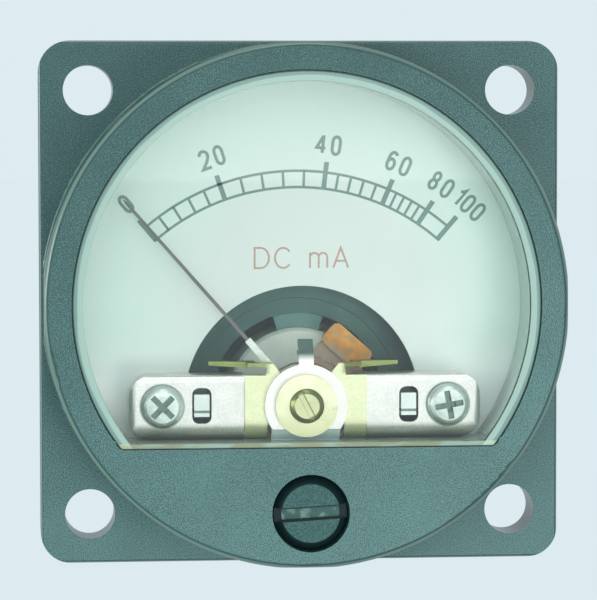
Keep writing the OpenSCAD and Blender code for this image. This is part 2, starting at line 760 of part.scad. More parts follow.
module zero_lever() {
    tab_w = 1.26;
    low_z = lever_low_z;
    ring_r = lever_ring_d / 2;
    fork_in = adjuster_pin_d / 2 + 0.12;
    reach = lever_arm + adjuster_pin_d / 2 + 0.9;
    color([0.93, 0.94, 0.92]) stand() at_hub() {
        difference() {
            union() {
                translate([0, 0, lever_z]) intersection() {
                    cylinder(r = ring_r, h = lever_t);
                    translate([-ring_r, -lever_bend, 0]) cube(2 * ring_r);
                }
                translate([-tab_w / 2, 0, lever_z]) cube([tab_w, tab_tip, lever_t]);
                rotate([0, -90, 0]) translate([0, 0, -tongue_w / 2]) linear_extrude(tongue_w)
                    polygon([[lever_z + lever_t, 0.3 - lever_bend], [lever_z + lever_t, -lever_bend],
                             [low_z + lever_t, -lever_drop], [low_z + lever_t, -lever_drop - 1.5],
                             [low_z, -lever_drop - 1.5], [low_z, 0.25 - lever_drop],
                             [lever_z, 0.3 - lever_bend]]);
                translate([-tongue_w / 2, -reach, low_z]) cube([tongue_w, reach - lever_drop - 1, lever_t]);
                translate([-tab_w / 2, tab_tip - lever_t, spring_z])
                    cube([tab_w, lever_t, lever_z - spring_z + eps]);
                rotate([0, -90, 0]) translate([0, 0, -tab_w / 2]) linear_extrude(tab_w)
                    polygon([[lever_z + lever_t, tab_tip - 0.3], [lever_z + lever_t - 1, tab_tip + 1],
                             [lever_z - 1, tab_tip + 1], [lever_z, tab_tip - 0.3]]);
            }
            translate([0, 0, lever_z - 1]) cylinder(r = 1.85 + run, h = 4);
            translate([-fork_in + adjuster_x, -reach - 1, low_z - 1])
                cube([2 * fork_in, 4.2, 3]);
        }
    }
}

module front_hairspring() {
    color([0.42, 0.35, 0.26]) stand() at_hub(spring_z) rotate(90)
        spiral(jewel_screw_d * 0.42, tab_tip - lever_t - 0.02, 5, 0.12, spring_h);
}

/* ---- Moving coil and pointer ---- */

module at_pointer(z = 0) {
    at_hub(z) rotate(pointer_zero) children();
}

module at_coil(z = 0) {
    at_hub(z) rotate(pointer_zero + coil_turn) children();
}

module pointer() {
    foot_in = 2.6;
    color([0.45, 0.42, 0.42]) stand() at_pointer(pointer_z)
        linear_extrude(pointer_t) polygon([
            [-pointer_w / 2, foot_in], [-pointer_w * 0.38, pointer_len - 0.5], [0, pointer_len],
            [pointer_w * 0.38, pointer_len - 0.5], [pointer_w / 2, foot_in]]);
}

module pointer_boss() {
    boss_r = 1.05;
    arm_r = 3.2;
    arm_w = 0.5;
    sleeve_w = pointer_w + 0.24;
    color([0.86, 0.86, 0.80]) stand() at_pointer(pointer_z) difference() {
        union() {
            cylinder(r = boss_r, h = pointer_t);
            for (a = [90, 180, 270]) rotate(a)
                translate([-arm_w / 2, 0, 0]) cube([arm_w, arm_r, pointer_t]);
            translate([-sleeve_w / 2, 0, -0.12]) cube([sleeve_w, sleeve_len, pointer_t + 0.24]);
        }
        translate([0, 0, -1]) cylinder(r = 0.35 + glue, h = 3);
        translate([-pointer_w / 2 - 0.02, 2.55, -0.02])
            cube([pointer_w + 0.04, sleeve_len, pointer_t + 0.04]);
    }
}

module balance_weights() {
    color([0.80, 0.70, 0.40]) stand() at_pointer(pointer_z - 0.1) {
        for (a = [90, 180, 270]) rotate(a) translate([0, 2.75, 0]) difference() {
            translate([-0.45, -0.4, 0]) cube([0.9, 0.8, pointer_t + 0.2]);
            translate([-0.27, -1, 0.08]) cube([0.54, 2, pointer_t + 0.04]);
        }
    }
}

module coil_loop(in_r, out_r, in_z0, in_z1, bar, w) {
    rotate([90, 0, 0]) translate([0, 0, -w / 2]) linear_extrude(w) difference() {
        translate([-out_r, in_z0 - bar]) square([2 * out_r, in_z1 - in_z0 + 2 * bar]);
        translate([-in_r, in_z0]) square([2 * in_r, in_z1 - in_z0]);
    }
}

module coil_former() {
    color([0.78, 0.78, 0.70]) stand() at_coil() difference() {
        coil_loop(coil_in_r, coil_in_r + coil_wall, coil_back_z, coil_front_z, coil_wall, coil_w - 0.6);
        translate([0, 0, coil_back_z - 2]) cylinder(r = 0.3, h = 1.9);
    }
}

module coil_winding() {
    inset = coil_wall + glue;
    block = 2.2;
    color([0.80, 0.48, 0.25]) stand() at_coil() difference() {
        union() {
            intersection() {
                coil_loop(coil_in_r + inset, coil_out_r, coil_back_z - inset, coil_front_z + inset,
                          coil_bar_t - inset, coil_w - 0.6);
                translate([0, 0, coil_back_z - 3]) cylinder(r = coil_out_r, h = core_len + 10);
            }
            for (s = [-1, 1])
                translate([s * (coil_out_r - block / 2 + 0.05), 0, coil_front_z + coil_bar_t - 0.6])
                    linear_extrude(1) round_rect(block, coil_w, 0.6);
        }
        for (z = [coil_back_z - 3, coil_front_z + inset - eps])
            translate([0, 0, z]) cylinder(r = 0.9, h = 3);
    }
}

module front_pivot() {
    base_z = coil_front_z + coil_wall + glue;
    tip_z = saddle_z - 0.95 + 0.3;
    color([0.75, 0.76, 0.74]) stand() at_hub() {
        translate([0, 0, base_z]) cylinder(r = 0.85, h = 0.9);
        translate([0, 0, base_z]) cylinder(r = 0.35, h = tip_z - 0.6 - base_z);
        translate([0, 0, base_z]) cylinder(r = 0.2, h = tip_z - base_z);
        translate([0, 0, spring_z]) cylinder(r = 0.9, h = spring_h);
    }
}

module rear_pivot() {
    base_z = coil_back_z - coil_wall - glue;
    tip_z = frame_z + 0.15 - 0.3;
    color([0.75, 0.76, 0.74]) stand() at_hub() {
        translate([0, 0, base_z - 0.9]) cylinder(r = 0.85, h = 0.9);
        translate([0, 0, frame_z + 0.25]) cylinder(r = 0.35, h = base_z - frame_z - 0.25);
        translate([0, 0, tip_z]) cylinder(r = 0.2, h = base_z - tip_z);
        translate([0, 0, rear_spring_z]) cylinder(r = 0.9, h = spring_h);
    }
}

front_bezel();
window();
dial_plate();
rear_housing();
yoke_ring();
core_magnet();
movement_frame();
front_bridge();
bridge_saddle();
bridge_post(-1);  // bridge_post_left
bridge_post(1);  // bridge_post_right
bridge_screw(-1, 45);  // bridge_screw_left
bridge_screw(1, 10);  // bridge_screw_right
front_jewel_screw();
front_jewel();
jewel_nut();
rear_jewel_screw();
rear_jewel();
rear_lock_nut();
rear_hairspring();
shunt_bobbin();
shunt_winding();
terminal_stud(1);  // terminal_stud_plus
terminal_stud(-1);  // terminal_stud_minus
terminal_lug(1);  // terminal_lug_plus
terminal_lug(-1);  // terminal_lug_minus
terminal_washer(1);  // terminal_washer_plus
terminal_washer(-1);  // terminal_washer_minus
terminal_nut(1);  // terminal_nut_plus
terminal_nut(-1);  // terminal_nut_minus
zero_adjuster();
adjuster_clip();
zero_lever();
front_hairspring();
pointer();
pointer_boss();
balance_weights();
coil_former();
coil_winding();
front_pivot();
rear_pivot();
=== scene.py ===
"""Looks of a square-flange moving-coil panel meter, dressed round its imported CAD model."""

import logging
import math
from dataclasses import dataclass, replace
from enum import Enum
from typing import Callable, Sequence, Union

import bmesh
import bpy
from mathutils import Matrix, Vector


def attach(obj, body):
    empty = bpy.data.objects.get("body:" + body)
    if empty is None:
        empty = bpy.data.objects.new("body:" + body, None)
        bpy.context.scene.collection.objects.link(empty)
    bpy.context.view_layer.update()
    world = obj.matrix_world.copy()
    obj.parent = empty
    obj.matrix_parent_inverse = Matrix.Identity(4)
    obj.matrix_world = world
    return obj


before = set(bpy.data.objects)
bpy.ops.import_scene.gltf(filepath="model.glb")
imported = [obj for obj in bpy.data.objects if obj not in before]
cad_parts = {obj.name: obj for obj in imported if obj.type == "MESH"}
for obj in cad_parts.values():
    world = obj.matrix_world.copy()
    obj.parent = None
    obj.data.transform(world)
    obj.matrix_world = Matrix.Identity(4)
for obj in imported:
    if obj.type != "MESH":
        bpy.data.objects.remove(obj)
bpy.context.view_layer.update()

log = logging.getLogger("panel_meter")

MM = 0.001
Colour = tuple[float, float, float]
Point = tuple[float, float]
Span = tuple[float, float]
Value = Union["Wire", float, tuple]

# Axes that run front to back, in mm across the face.
BARREL: Point = (0.0, 0.0)
HUB: Point = (0.0, -8.57)
SCREW: Point = (12.22, -8.6)


# ---------------------------------------------------------------- shader helpers


class Wire:
    """One socket of a material's node tree, which takes the usual operators."""

    def __init__(self, shade: "Shade", socket: bpy.types.NodeSocket) -> None:
        """Keeps the socket and the tree it belongs to."""
        self.shade = shade
        self.socket = socket

    def math(self, operation: str, *values: Value) -> "Wire":
        """Adds a Math node with that operation on the given values."""
        return self.shade.node("ShaderNodeMath", {"operation": operation}, dict(enumerate(values)))

    def __add__(self, other: Value) -> "Wire":
        """self + other."""
        return self.math("ADD", self, other)

    def __radd__(self, other: Value) -> "Wire":
        """other + self."""
        return self.math("ADD", other, self)

    def __sub__(self, other: Value) -> "Wire":
        """self - other."""
        return self.math("SUBTRACT", self, other)

    def __rsub__(self, other: Value) -> "Wire":
        """other - self."""
        return self.math("SUBTRACT", other, self)

    def __mul__(self, other: Value) -> "Wire":
        """self * other."""
        return self.math("MULTIPLY", self, other)

    def __rmul__(self, other: Value) -> "Wire":
        """other * self."""
        return self.math("MULTIPLY", other, self)

    def __pow__(self, other: Value) -> "Wire":
        """self to the power of other."""
        return self.math("POWER", self, other)

    def __rpow__(self, other: Value) -> "Wire":
        """other to the power of self."""
        return self.math("POWER", other, self)

    def __neg__(self) -> "Wire":
        """The value with its sign turned."""
        return self.math("MULTIPLY", self, -1.0)

    def __abs__(self) -> "Wire":
        """The value without its sign."""
        return self.math("ABSOLUTE", self)

    def wave(self) -> "Wire":
        """A sine of the value, from 0 to 1."""
        return self.math("SINE", self) * 0.5 + 0.5

    def larger(self, other: Value) -> "Wire":
        """The larger of the two values."""
        return self.math("MAXIMUM", self, other)

    def step(self, low: float, high: float) -> "Wire":
        """A smooth step from 0 at low to 1 at high; high under low turns it round."""
        settings = {"interpolation_type": "SMOOTHSTEP"}
        return self.shade.node("ShaderNodeMapRange", settings, {"Value": self, "From Min": low, "From Max": high})

    def rise(self, low: float, high: float) -> "Wire":
        """The same step on a length, with low and high in mm."""
        return self.step(low * MM, high * MM)

    def band(self, low: float, high: float, soft: float) -> "Wire":
        """1 between two lengths and 0 outside them, with ends soft to each side, all in mm."""
        return self.rise(low - soft, low + soft) - self.rise(high - soft, high + soft)


class Shade:
    """The node tree of one material, or of the world, while it is being built."""

    def __init__(self, owner: Union[bpy.types.Material, bpy.types.World], output: str) -> None:
        """Empties the owner's tree and gives it an output node.

        Args:
            owner: The material or world.
            output: Type of its output node.
        """
        owner.use_nodes = True
        self.owner = owner
        self.tree = owner.node_tree
        self.tree.nodes.clear()
        self.output = self.tree.nodes.new(output)

    @classmethod
    def of_material(cls, name: str) -> "Shade":
        """Starts a new material of that name."""
        return cls(bpy.data.materials.new(name), "ShaderNodeOutputMaterial")

    @classmethod
    def of_world(cls, world: bpy.types.World) -> "Shade":
        """Starts the world's own tree."""
        return cls(world, "ShaderNodeOutputWorld")

    def node(self, kind: str, settings: dict | None = None, inputs: dict | None = None,
             output: int | str = 0) -> Wire:
        """Adds one node.

        Args:
            kind: The node's type name.
            settings: Properties to set first, such as a Math node's operation.
            inputs: Values or wires by socket name or number.
            output: The output socket to hand back.

        Returns:
            The chosen output as a wire.
        """
        made = self.tree.nodes.new(kind)
        for key, value in (settings or {}).items():
            setattr(made, key, value)
        for key, value in (inputs or {}).items():
            self.feed(made.inputs[key], value)
        return Wire(self, made.outputs[output])

    def feed(self, socket: bpy.types.NodeSocket, value: Value) -> None:
        """Links a wire to a socket, or sets the socket's own value.

        Args:
            socket: The input socket.
            value: The wire, number, vector or colour for it.
        """
        if isinstance(value, Wire):
            self.tree.links.new(value.socket, socket)
        elif isinstance(value, tuple) and len(value) == 3 and socket.type == "RGBA":
            socket.default_value = (*value, 1.0)
        else:
            socket.default_value = value

    def place(self) -> Wire:
        """The point on the piece, in metres in the part's own frame."""
        return self.node("ShaderNodeTexCoord", output="Object")

    def axis(self, name: str) -> Wire:
        """One coordinate of the point on the piece, by its letter."""
        return self.node("ShaderNodeSeparateXYZ", None, {0: self.place()}, name)

    def aside(self) -> Wire:
        """Distance from the upright plane through the meter's middle, in metres."""
        return abs(self.axis("X"))

    def level(self) -> Wire:
        """Height above the flange's panel face, in metres."""
        return -self.axis("Y")

    def facing(self) -> Wire:
        """How squarely the surface faces the front or the back, from 0 to 1."""
        normal = self.node("ShaderNodeTexCoord", output="Normal")
        return abs(self.node("ShaderNodeSeparateXYZ", None, {0: normal}, "Y"))

    def radius(self, centre: Point, paired: bool = False) -> Wire:
        """Distance from an axis that runs front to back.

        Args:
            centre: Where the axis stands, in mm across the face.
            paired: True takes the nearer of this axis and its mirror image on the other side.

        Returns:
            The distance in metres.
        """
        across = (self.aside() if paired else self.axis("X")) - centre[0] * MM
        up = self.axis("Z") - centre[1] * MM
        return (across * across + up * up) ** 0.5

    def along(self, direction: Sequence[float]) -> Wire:
        """Distance along a direction, in metres."""
        settings = {"operation": "DOT_PRODUCT"}
        return self.node("ShaderNodeVectorMath", settings, {0: self.place(), 1: tuple(direction)}, "Value")

    def from_line(self, point: Point, turn: float) -> Wire:
        """Distance from a straight line across the face.

        Args:
            point: A point on the line, in mm.
            turn: Where the line's normal points, in degrees from +x to up.

        Returns:
            The distance in metres.
        """
        slant = math.radians(turn)
        normal = (math.cos(slant), 0.0, math.sin(slant))
        return abs(self.along(normal) - (point[0] * normal[0] + point[1] * normal[2]) * MM)

    def noise(self, size: float, detail: float = 2.0, stretch: Sequence[float] = (1.0, 1.0, 1.0)) -> Wire:
        """Soft noise.

        Args:
            size: Width of one blotch in metres.
            detail: Levels of finer noise on top.
            stretch: How much longer the blotches are along x, y and z.

        Returns:
            The noise as a value round 0.5.
        """
        scale = tuple(1.0 / (size * s) for s in stretch)
        scaled = self.node("ShaderNodeVectorMath", {"operation": "MULTIPLY"}, {0: self.place(), 1: scale})
        return self.node("ShaderNodeTexNoise", None, {"Vector": scaled, "Scale": 1.0, "Detail": detail})

    def blend(self, share: Value, first: Value, second: Value) -> Wire:
        """Mixes two colours: share 0 is the first, 1 the second."""
        return self.node("ShaderNodeMix", {"data_type": "RGBA"}, {0: share, 6: first, 7: second}, 2)

    def bump(self, height: Wire, depth: float) -> Wire:
        """A bumped normal from a height of 0 to 1 that stands for depth metres."""
        return self.node("ShaderNodeBump", None, {"Height": height, "Distance": depth, "Strength": 1.0})

    def principled(self, inputs: dict) -> Wire:
        """A Principled shader with those inputs."""
        return self.node("ShaderNodeBsdfPrincipled", None, inputs)

    def mix(self, share: Wire, first: Wire, second: Wire) -> Wire:
        """Mixes two shaders: share 0 is the first, 1 the second."""
        return self.node("ShaderNodeMixShader", None, {0: share, 1: first, 2: second})

    def ray(self, kind: str) -> Wire:
        """1 on rays of that kind, such as "Shadow", else 0."""
        return self.node("ShaderNodeLightPath", output=f"Is {kind} Ray")

    def seen(self) -> Wire:
        """1 where the camera looks here straight, in a reflection or through glass, else 0."""
        return self.ray("Camera").larger(self.ray("Glossy").larger(self.ray("Transmission")))

    def finish(self, surface: Wire) -> Union[bpy.types.Material, bpy.types.World]:
        """Puts the shader on the output and returns the material or world."""
        self.tree.links.new(surface.socket, self.output.inputs["Surface"])
        return self.owner


# ---------------------------------------------------------------- finishes


@dataclass(frozen=True)
class Finish:
    """A named finish. Each kind builds its own shader, and some pieces add marks to its colour."""

    name: str

    def material(self) -> bpy.types.Material:
        """The finished material."""
        shade = Shade.of_material(self.name)
        return shade.finish(self.surface(shade))

    def surface(self, shade: Shade) -> Wire:
        """The finish's shader, in the given tree."""
        raise NotImplementedError

    def marked(self, shade: Shade, colour: Wire) -> Wire:
        """The colour with the piece's own marks, of which a plain piece has none."""
        return colour


@dataclass(frozen=True)
class MouldedPlastic(Finish):
    """Thermoplastic from a tool with spark-eroded faces and polished flanks, which leave no grain."""

    tone: Colour
    fleck: Colour
    grain: float = 0.085 * MM
    depth: float = 0.012 * MM
    roughness: float = 0.36
    polish: float = 0.28
    # Painted highlight: a lighter colour on the rounded edges, mixed in at the share below.
    edge: Colour = (0.22, 0.33, 0.26)
    painted_highlight: float = 0.0
    # Painted light: more of the lighter fleck on the faces towards the lower right, by this share over this reach.
    painted_light_tilt: float = 0.0
    painted_light_reach: float = 34.0
    painted_light_way: Sequence[float] = (0.4, 0.0, -0.92)
    specular: float = 0.5
    cloud: float = 6 * MM
    contrast: float = 2.4
    darkness: float = 0.75
    cloudiness: float = 0.3
    fleck_edge: Span = (0.1, 0.9)
    grain_roughness: float = 0.25
    face_from: Span = (0.93, 0.99)
    flank_to: Span = (0.8, 0.9)
    highlight_from: Span = (0.35, 0.5)

    def surface(self, shade: Shade) -> Wire:
        """Grained faces, polished flanks and a painted highlight on the rounded edges between them, with painted
        light towards the lower right.

        Args:
            shade: The material's tree.

        Returns:
            The shader.
        """
        fine, cloud = shade.noise(self.grain, 1.0), shade.noise(self.cloud)
        square = shade.facing()
        face = square.step(*self.face_from)
        # Painted highlight on the rounded edges.
        edge_highlight = (1.0 - square.step(*self.flank_to)) * square.step(*self.highlight_from)
        # Painted light growing towards the lower right.
        painted_light_drift = shade.along(self.painted_light_way).rise(-self.painted_light_reach, self.painted_light_reach)
        share = fine * self.contrast - self.darkness + (cloud - 0.5) * self.cloudiness + (painted_light_drift - 0.5) * self.painted_light_tilt
        colour = shade.blend(share.step(*self.fleck_edge) * face, self.tone, self.fleck)
        rough = self.polish + face * (self.roughness - self.polish + (fine - 0.5) * self.grain_roughness)
        return shade.principled({
            "Base Color": self.marked(shade, shade.blend(edge_highlight * self.painted_highlight, colour, self.edge)),
            "Roughness": rough, "Normal": shade.bump(fine * face, self.depth),
            "Specular IOR Level": self.specular})


@dataclass(frozen=True)
class BarrelPlastic(MouldedPlastic):
    """Barrel moulding with painted light over its bore, which makes it paler than outside."""

    # Painted light: the colour painted into the bore, where the barrel lies in shade.
    inner: Colour = (0.34, 0.66, 0.60)
    bore: float = 17.65
    floor: float = -17.6
    soft: float = 0.05

    def marked(self, shade: Shade, colour: Wire) -> Wire:
        """Paints light into the bore.

        Args:
            shade: The material's tree.
            colour: The colour without marks.

        Returns:
            The marked colour.
        """
        inside = 1.0 - shade.radius(BARREL).rise(self.bore - self.soft, self.bore + self.soft)
        inside = inside * shade.level().rise(self.floor - self.soft, self.floor + self.soft)
        return shade.blend(inside, colour, self.inner)


@dataclass(frozen=True)
class AdjusterPlastic(MouldedPlastic):
    """Adjuster moulding with painted shade round its head and along its slot's edges, and painted light on the
    slot's floor.
    """

    axis: Point = (0.2, -17.55)
    face_radius: float = 2.5
    # Painted shade: a dark ring round the head's face, where the deep gap round the head lies.
    gap_shade: Colour = (0.012, 0.032, 0.034)
    slot_turn: float = 3.3
    slot_half: float = 0.43
    slot_edge: float = 0.6
    # Painted light on the slot's floor, with patches of painted highlight in the shine colour.
    painted_floor_light: Colour = (0.085, 0.19, 0.175)
    shine: Colour = (0.25, 0.42, 0.38)
    patch: float = 0.9 * MM
    patch_edge: Span = (0.5, 0.68)
    edge_blend: float = 0.03
    line_cover: float = 0.85

    def marked(self, shade: Shade, colour: Wire) -> Wire:
        """Paints shade round the head and along the slot's edges, and paints light on the slot's floor.

        Args:
            shade: The material's tree.
            colour: The colour without marks.

        Returns:
            The marked colour.
        """
        reach = shade.from_line(self.axis, self.slot_turn + 90.0)
        # Painted light on the slot's floor, with patches of painted highlight.
        painted_highlight = shade.blend(shade.noise(self.patch).step(*self.patch_edge), self.painted_floor_light, self.shine)
        colour = shade.blend(1.0 - reach.rise(self.slot_half - self.edge_blend, self.slot_half), colour, painted_highlight)
        # Painted shade along the slot's edges and round the head.
        line = reach.band(self.slot_half, self.slot_edge, self.edge_blend)
        outer = shade.radius(self.axis).rise(self.face_radius - 2 * self.edge_blend, self.face_radius)
        return shade.blend(outer.larger(line * self.line_cover), colour, self.gap_shade)


@dataclass(frozen=True)
class ClearPlastic(Finish):
    """Clear acrylic that light passes through, with painted light over its moulded skirt, a painted reflection on
    its lower wall and painted shade at its rim.
    """

    name: str = "clear_acrylic"
    tint: Colour = (0.955, 0.985, 0.97)
    ior: float = 1.49
    # Painted light: the skirt is painted pale, paler towards its inside, standing in for the light carried in the
    # skirt.
    inner_skirt_light: Colour = (0.47, 0.68, 0.60)
    outer_skirt_light: Colour = (0.27, 0.44, 0.38)
    # Painted reflection of the movement on the lower wall: pale, with streaks of brass.
    wall_reflection: Colour = (0.60, 0.84, 0.69)
    brass_reflection: Colour = (0.54, 0.60, 0.38)
    # Painted shade: a dark line along the window's rim where it meets the bezel.
    rim_shade: Colour = (0.02, 0.055, 0.055)
    skirt_radius: float = 18.97
    outer_radius: float = 19.47
    rim_shade_radius: float = 19.74
    wall_drop: float = 11.52
    rim_shade_drop: float = 11.9
    soft: float = 0.06
    skirt_cover: float = 0.88
    wall_cover: float = 0.6
    polish: float = 0.02
    painted_light_roughness: float = 0.08
    wander_size: float = 5 * MM
    wander_reach: float = 0.4 * MM
    streak_size: float = 0.5 * MM
    streak_stretch: Sequence[float] = (5.0, 1.0, 1.0)
    streak_edge: Span = (0.42, 0.62)

    def surface(self, shade: Shade) -> Wire:
        """Clear in the middle, with painted light on the skirt, a painted reflection of the movement on the lower
        wall and a painted shade line at the rim.

        Args:
            shade: The material's tree.

        Returns:
            The shader.
        """
        glass = shade.principled({
            "Base Color": self.tint, "Roughness": self.polish, "IOR": self.ior, "Transmission Weight": 1.0})
        through = shade.node("ShaderNodeBsdfTransparent", None, {"Color": self.tint})
        clear = shade.mix(shade.ray("Shadow"), glass, through)
        radius, drop = shade.radius(BARREL), -shade.axis("Z")
        skirt = self._from(radius, self.skirt_radius)
        wall = self._from(drop, self.wall_drop)
        # Painted shade line along the rim.
        rim = self._from(radius, self.rim_shade_radius).larger(self._from(drop, self.rim_shade_drop))
        wander = (shade.noise(self.wander_size) - 0.5) * self.wander_reach
        # Painted light on the skirt.
        painted_light_and_shade = shade.blend(self._from(radius + wander, self.outer_radius), self.inner_skirt_light, self.outer_skirt_light)
        # Painted reflection streaks on the lower wall.
        streak = shade.noise(self.streak_size, 2.0, self.streak_stretch).step(*self.streak_edge)
        strip = shade.blend(streak, self.brass_reflection, self.wall_reflection)
        painted_light_and_shade = shade.blend(rim, shade.blend(wall, painted_light_and_shade, strip), self.rim_shade)
        painted_shader = shade.principled({"Base Color": painted_light_and_shade, "Roughness": self.painted_light_roughness, "IOR": self.ior})
        return shade.mix((skirt * self.skirt_cover).larger(wall * self.wall_cover).larger(rim), clear, painted_shader)

    def _from(self, value: Wire, start: float) -> Wire:
        """A soft step of the value at start, in mm."""
        return value.rise(start - self.soft, start + self.soft)


@dataclass(frozen=True)
class Enamel(Finish):
    """Satin stoving enamel with a faint orange peel."""

    tone: Colour
    shadow: Colour
    roughness: float = 0.38
    cloud: float = 7 * MM
    cloud_edge: Span = (0.35, 0.7)
    peel: float = 0.35 * MM
    peel_roughness: float = 0.1
    peel_depth: float = 0.002 * MM

    def surface(self, shade: Shade) -> Wire:
        """A slow clouding of the tone, with the peel as a bump.

        Args:
            shade: The material's tree.

        Returns:
            The shader.
        """
        cloud, peel = shade.noise(self.cloud, 3.0), shade.noise(self.peel)
        colour = shade.blend(cloud.step(*self.cloud_edge), self.tone, self.shadow)
        return shade.principled({
            "Base Color": self.marked(shade, colour),
            "Roughness": self.roughness + (peel - 0.5) * self.peel_roughness,
            "Normal": shade.bump(peel, self.peel_depth)})


@dataclass(frozen=True)
class DialEnamel(Enamel):
    """Pale dial enamel with painted light towards its edge, in a greener colour, and painted light beside the
    bridge.
    """

    # Painted light: a greener, slightly paler colour towards the edge, where the bezel shades the dial.
    outer: Colour = (0.745, 0.885, 0.825)
    # Painted light: a near-white colour beside the bridge, where the dial lies in shade.
    foot: Colour = (0.97, 1.0, 0.985)
    middle: Point = (1.5, 0.0)
    outer_place: Span = (7.0, 17.0)
    foot_place: Span = (9.5, 14.0)
    foot_top: Span = (-7.5, -2.5)

    def marked(self, shade: Shade, colour: Wire) -> Wire:
        """Paints light towards the edge and beside the bridge.

        Args:
            shade: The material's tree.
            colour: The colour without marks.

        Returns:
            The marked colour.
        """
        far = shade.radius(self.middle).rise(*self.outer_place)
        low = shade.aside().rise(*self.foot_place) * (1.0 - shade.axis("Z").rise(*self.foot_top))
        return shade.blend(low, shade.blend(far, colour, self.outer), self.foot)


@dataclass(frozen=True)
class PrintInk(Finish):
    """Screen-printed ink, a little uneven where the mesh laid it down."""

    tone: Colour
    thin: Colour
    roughness: float = 0.45
    weave: float = 0.09 * MM
    weave_edge: Span = (0.35, 0.75)

    def surface(self, shade: Shade) -> Wire:
        """Ink that is thinner in small spots."""
        colour = shade.blend(shade.noise(self.weave, 1.0).step(*self.weave_edge), self.tone, self.thin)
        return shade.principled({"Base Color": colour, "Roughness": self.roughness})


@dataclass(frozen=True)
class PlatedSheet(Finish):
    """Satin metal with fine pits and, where asked, lines left by rolling."""

    tone: Colour
    dull: Colour
    roughness: float = 0.3
    pit: float = 0.16 * MM
    depth: float = 0.006 * MM
    lines: float = 0.0
    metallic: float = 1.0
    pit_share: float = 0.75
    cloud: float = 1.6 * MM
    cloud_share: float = 0.35
    tone_edge: Span = (0.4, 0.8)
    line_size: float = 0.07 * MM
    line_stretch: Sequence[float] = (30.0, 1.0, 1.0)
    pit_roughness: float = 0.3
    pit_middle: float = 0.55

    def surface(self, shade: Shade) -> Wire:
        """Duller in its pits, which also roughen it.

        Args:
            shade: The material's tree.

        Returns:
            The shader.
        """
        pits, cloud = shade.noise(self.pit, 3.0), shade.noise(self.cloud, 3.0)
        rolled = shade.noise(self.line_size, 1.0, self.line_stretch)
        height = pits * (1.0 - self.lines) + rolled * self.lines
        share = (pits * self.pit_share + cloud * self.cloud_share).step(*self.tone_edge)
        return shade.principled({
            "Base Color": self.marked(shade, shade.blend(share, self.dull, self.tone)),
            "Metallic": self.shine(shade),
            "Roughness": self.roughness + (self.pit_middle - pits) * self.pit_roughness,
            "Normal": shade.bump(height, self.depth)})

    def shine(self, shade: Shade) -> Value:
        """How metallic the surface is."""
        return self.metallic


@dataclass(frozen=True)
class BridgeSteel(PlatedSheet):
    """Nickelled sheet with a painted shade line round each screw's head and painted shade on its lower bend."""

    screw: Point = SCREW
    line_place: Span = (1.78, 1.92)
    # Painted shade: a dark line round each screw's head.
    screw_ring_shade: Colour = (0.20, 0.30, 0.27)
    # Painted shade on the lower bend.
    bend: Colour = (0.06, 0.13, 0.125)
    bend_place: Span = (-11.75, -10.45)
    line_soft: float = 0.06
    line_cover: float = 0.9
    bend_cover: float = 0.85

    def marked(self, shade: Shade, colour: Wire) -> Wire:
        """Paints the shade lines round the screws and the shade on the lower bend.

        Args:
            shade: The material's tree.
            colour: The colour without marks.

        Returns:
            The marked colour.
        """
        line = shade.radius(self.screw, True).band(*self.line_place, self.line_soft)
        low = 1.0 - shade.axis("Z").rise(*self.bend_place)
        return shade.blend(low * self.bend_cover, shade.blend(line * self.line_cover, colour, self.screw_ring_shade), self.bend)


@dataclass(frozen=True)
class ScrewSteel(PlatedSheet):
    """Nickelled screw with painted shade in its cross recess and round the foot of its head."""

    screw: Point = SCREW
    # Painted shade in the cross recess and round the foot of the head.
    recess: Colour = (0.11, 0.17, 0.14)
    recess_reach: float = 1.28
    recess_level: float = 9.12
    foot_level: float = 8.62
    wall_blend: float = 0.06
    floor_blend: float = 0.08
    foot_blend: float = 0.1
    cover: float = 0.9

    def marked(self, shade: Shade, colour: Wire) -> Wire:
        """Paints shade into the cross recess and round the foot of the head.

        Args:
            shade: The material's tree.
            colour: The colour without marks.

        Returns:
            The marked colour.
        """
        level = shade.level()
        inside = 1.0 - shade.radius(self.screw, True).rise(self.recess_reach, self.recess_reach + self.wall_blend)
        deep = 1.0 - level.rise(self.recess_level - self.floor_blend, self.recess_level)
        foot = 1.0 - level.rise(self.foot_level, self.foot_level + self.foot_blend)
        return shade.blend((inside * deep).larger(foot) * self.cover, colour, self.recess)


@dataclass(frozen=True)
class SaddleBrass(PlatedSheet):
    """Brass sheet with painted shade on the bars behind the bridge and on its lower bend."""

    # Painted shade on the bars behind the bridge.
    bar_shade: Colour = (0.30, 0.34, 0.11)
    bar_start: float = 3.2
    bar_foot: float = -5.85
    # Painted shade on the lower bend.
    bend: Colour = (0.60, 0.68, 0.32)
    bend_place: Span = (-11.75, -10.6)
    bend_cover: float = 0.8
    start_soft: float = 0.3
    foot_soft: float = 0.05

    def marked(self, shade: Shade, colour: Wire) -> Wire:
        """Paints shade on the bars and on the lower bend.

        Args:
            shade: The material's tree.
            colour: The colour without marks.

        Returns:
            The marked colour.
        """
        out = shade.aside().rise(self.bar_start - self.start_soft, self.bar_start + self.start_soft)
        bar = out * shade.axis("Z").rise(self.bar_foot - self.foot_soft, self.bar_foot + self.foot_soft)
        low = 1.0 - shade.axis("Z").rise(*self.bend_place)
        return shade.blend(low * self.bend_cover, shade.blend(bar, colour, self.bar_shade), self.bend)


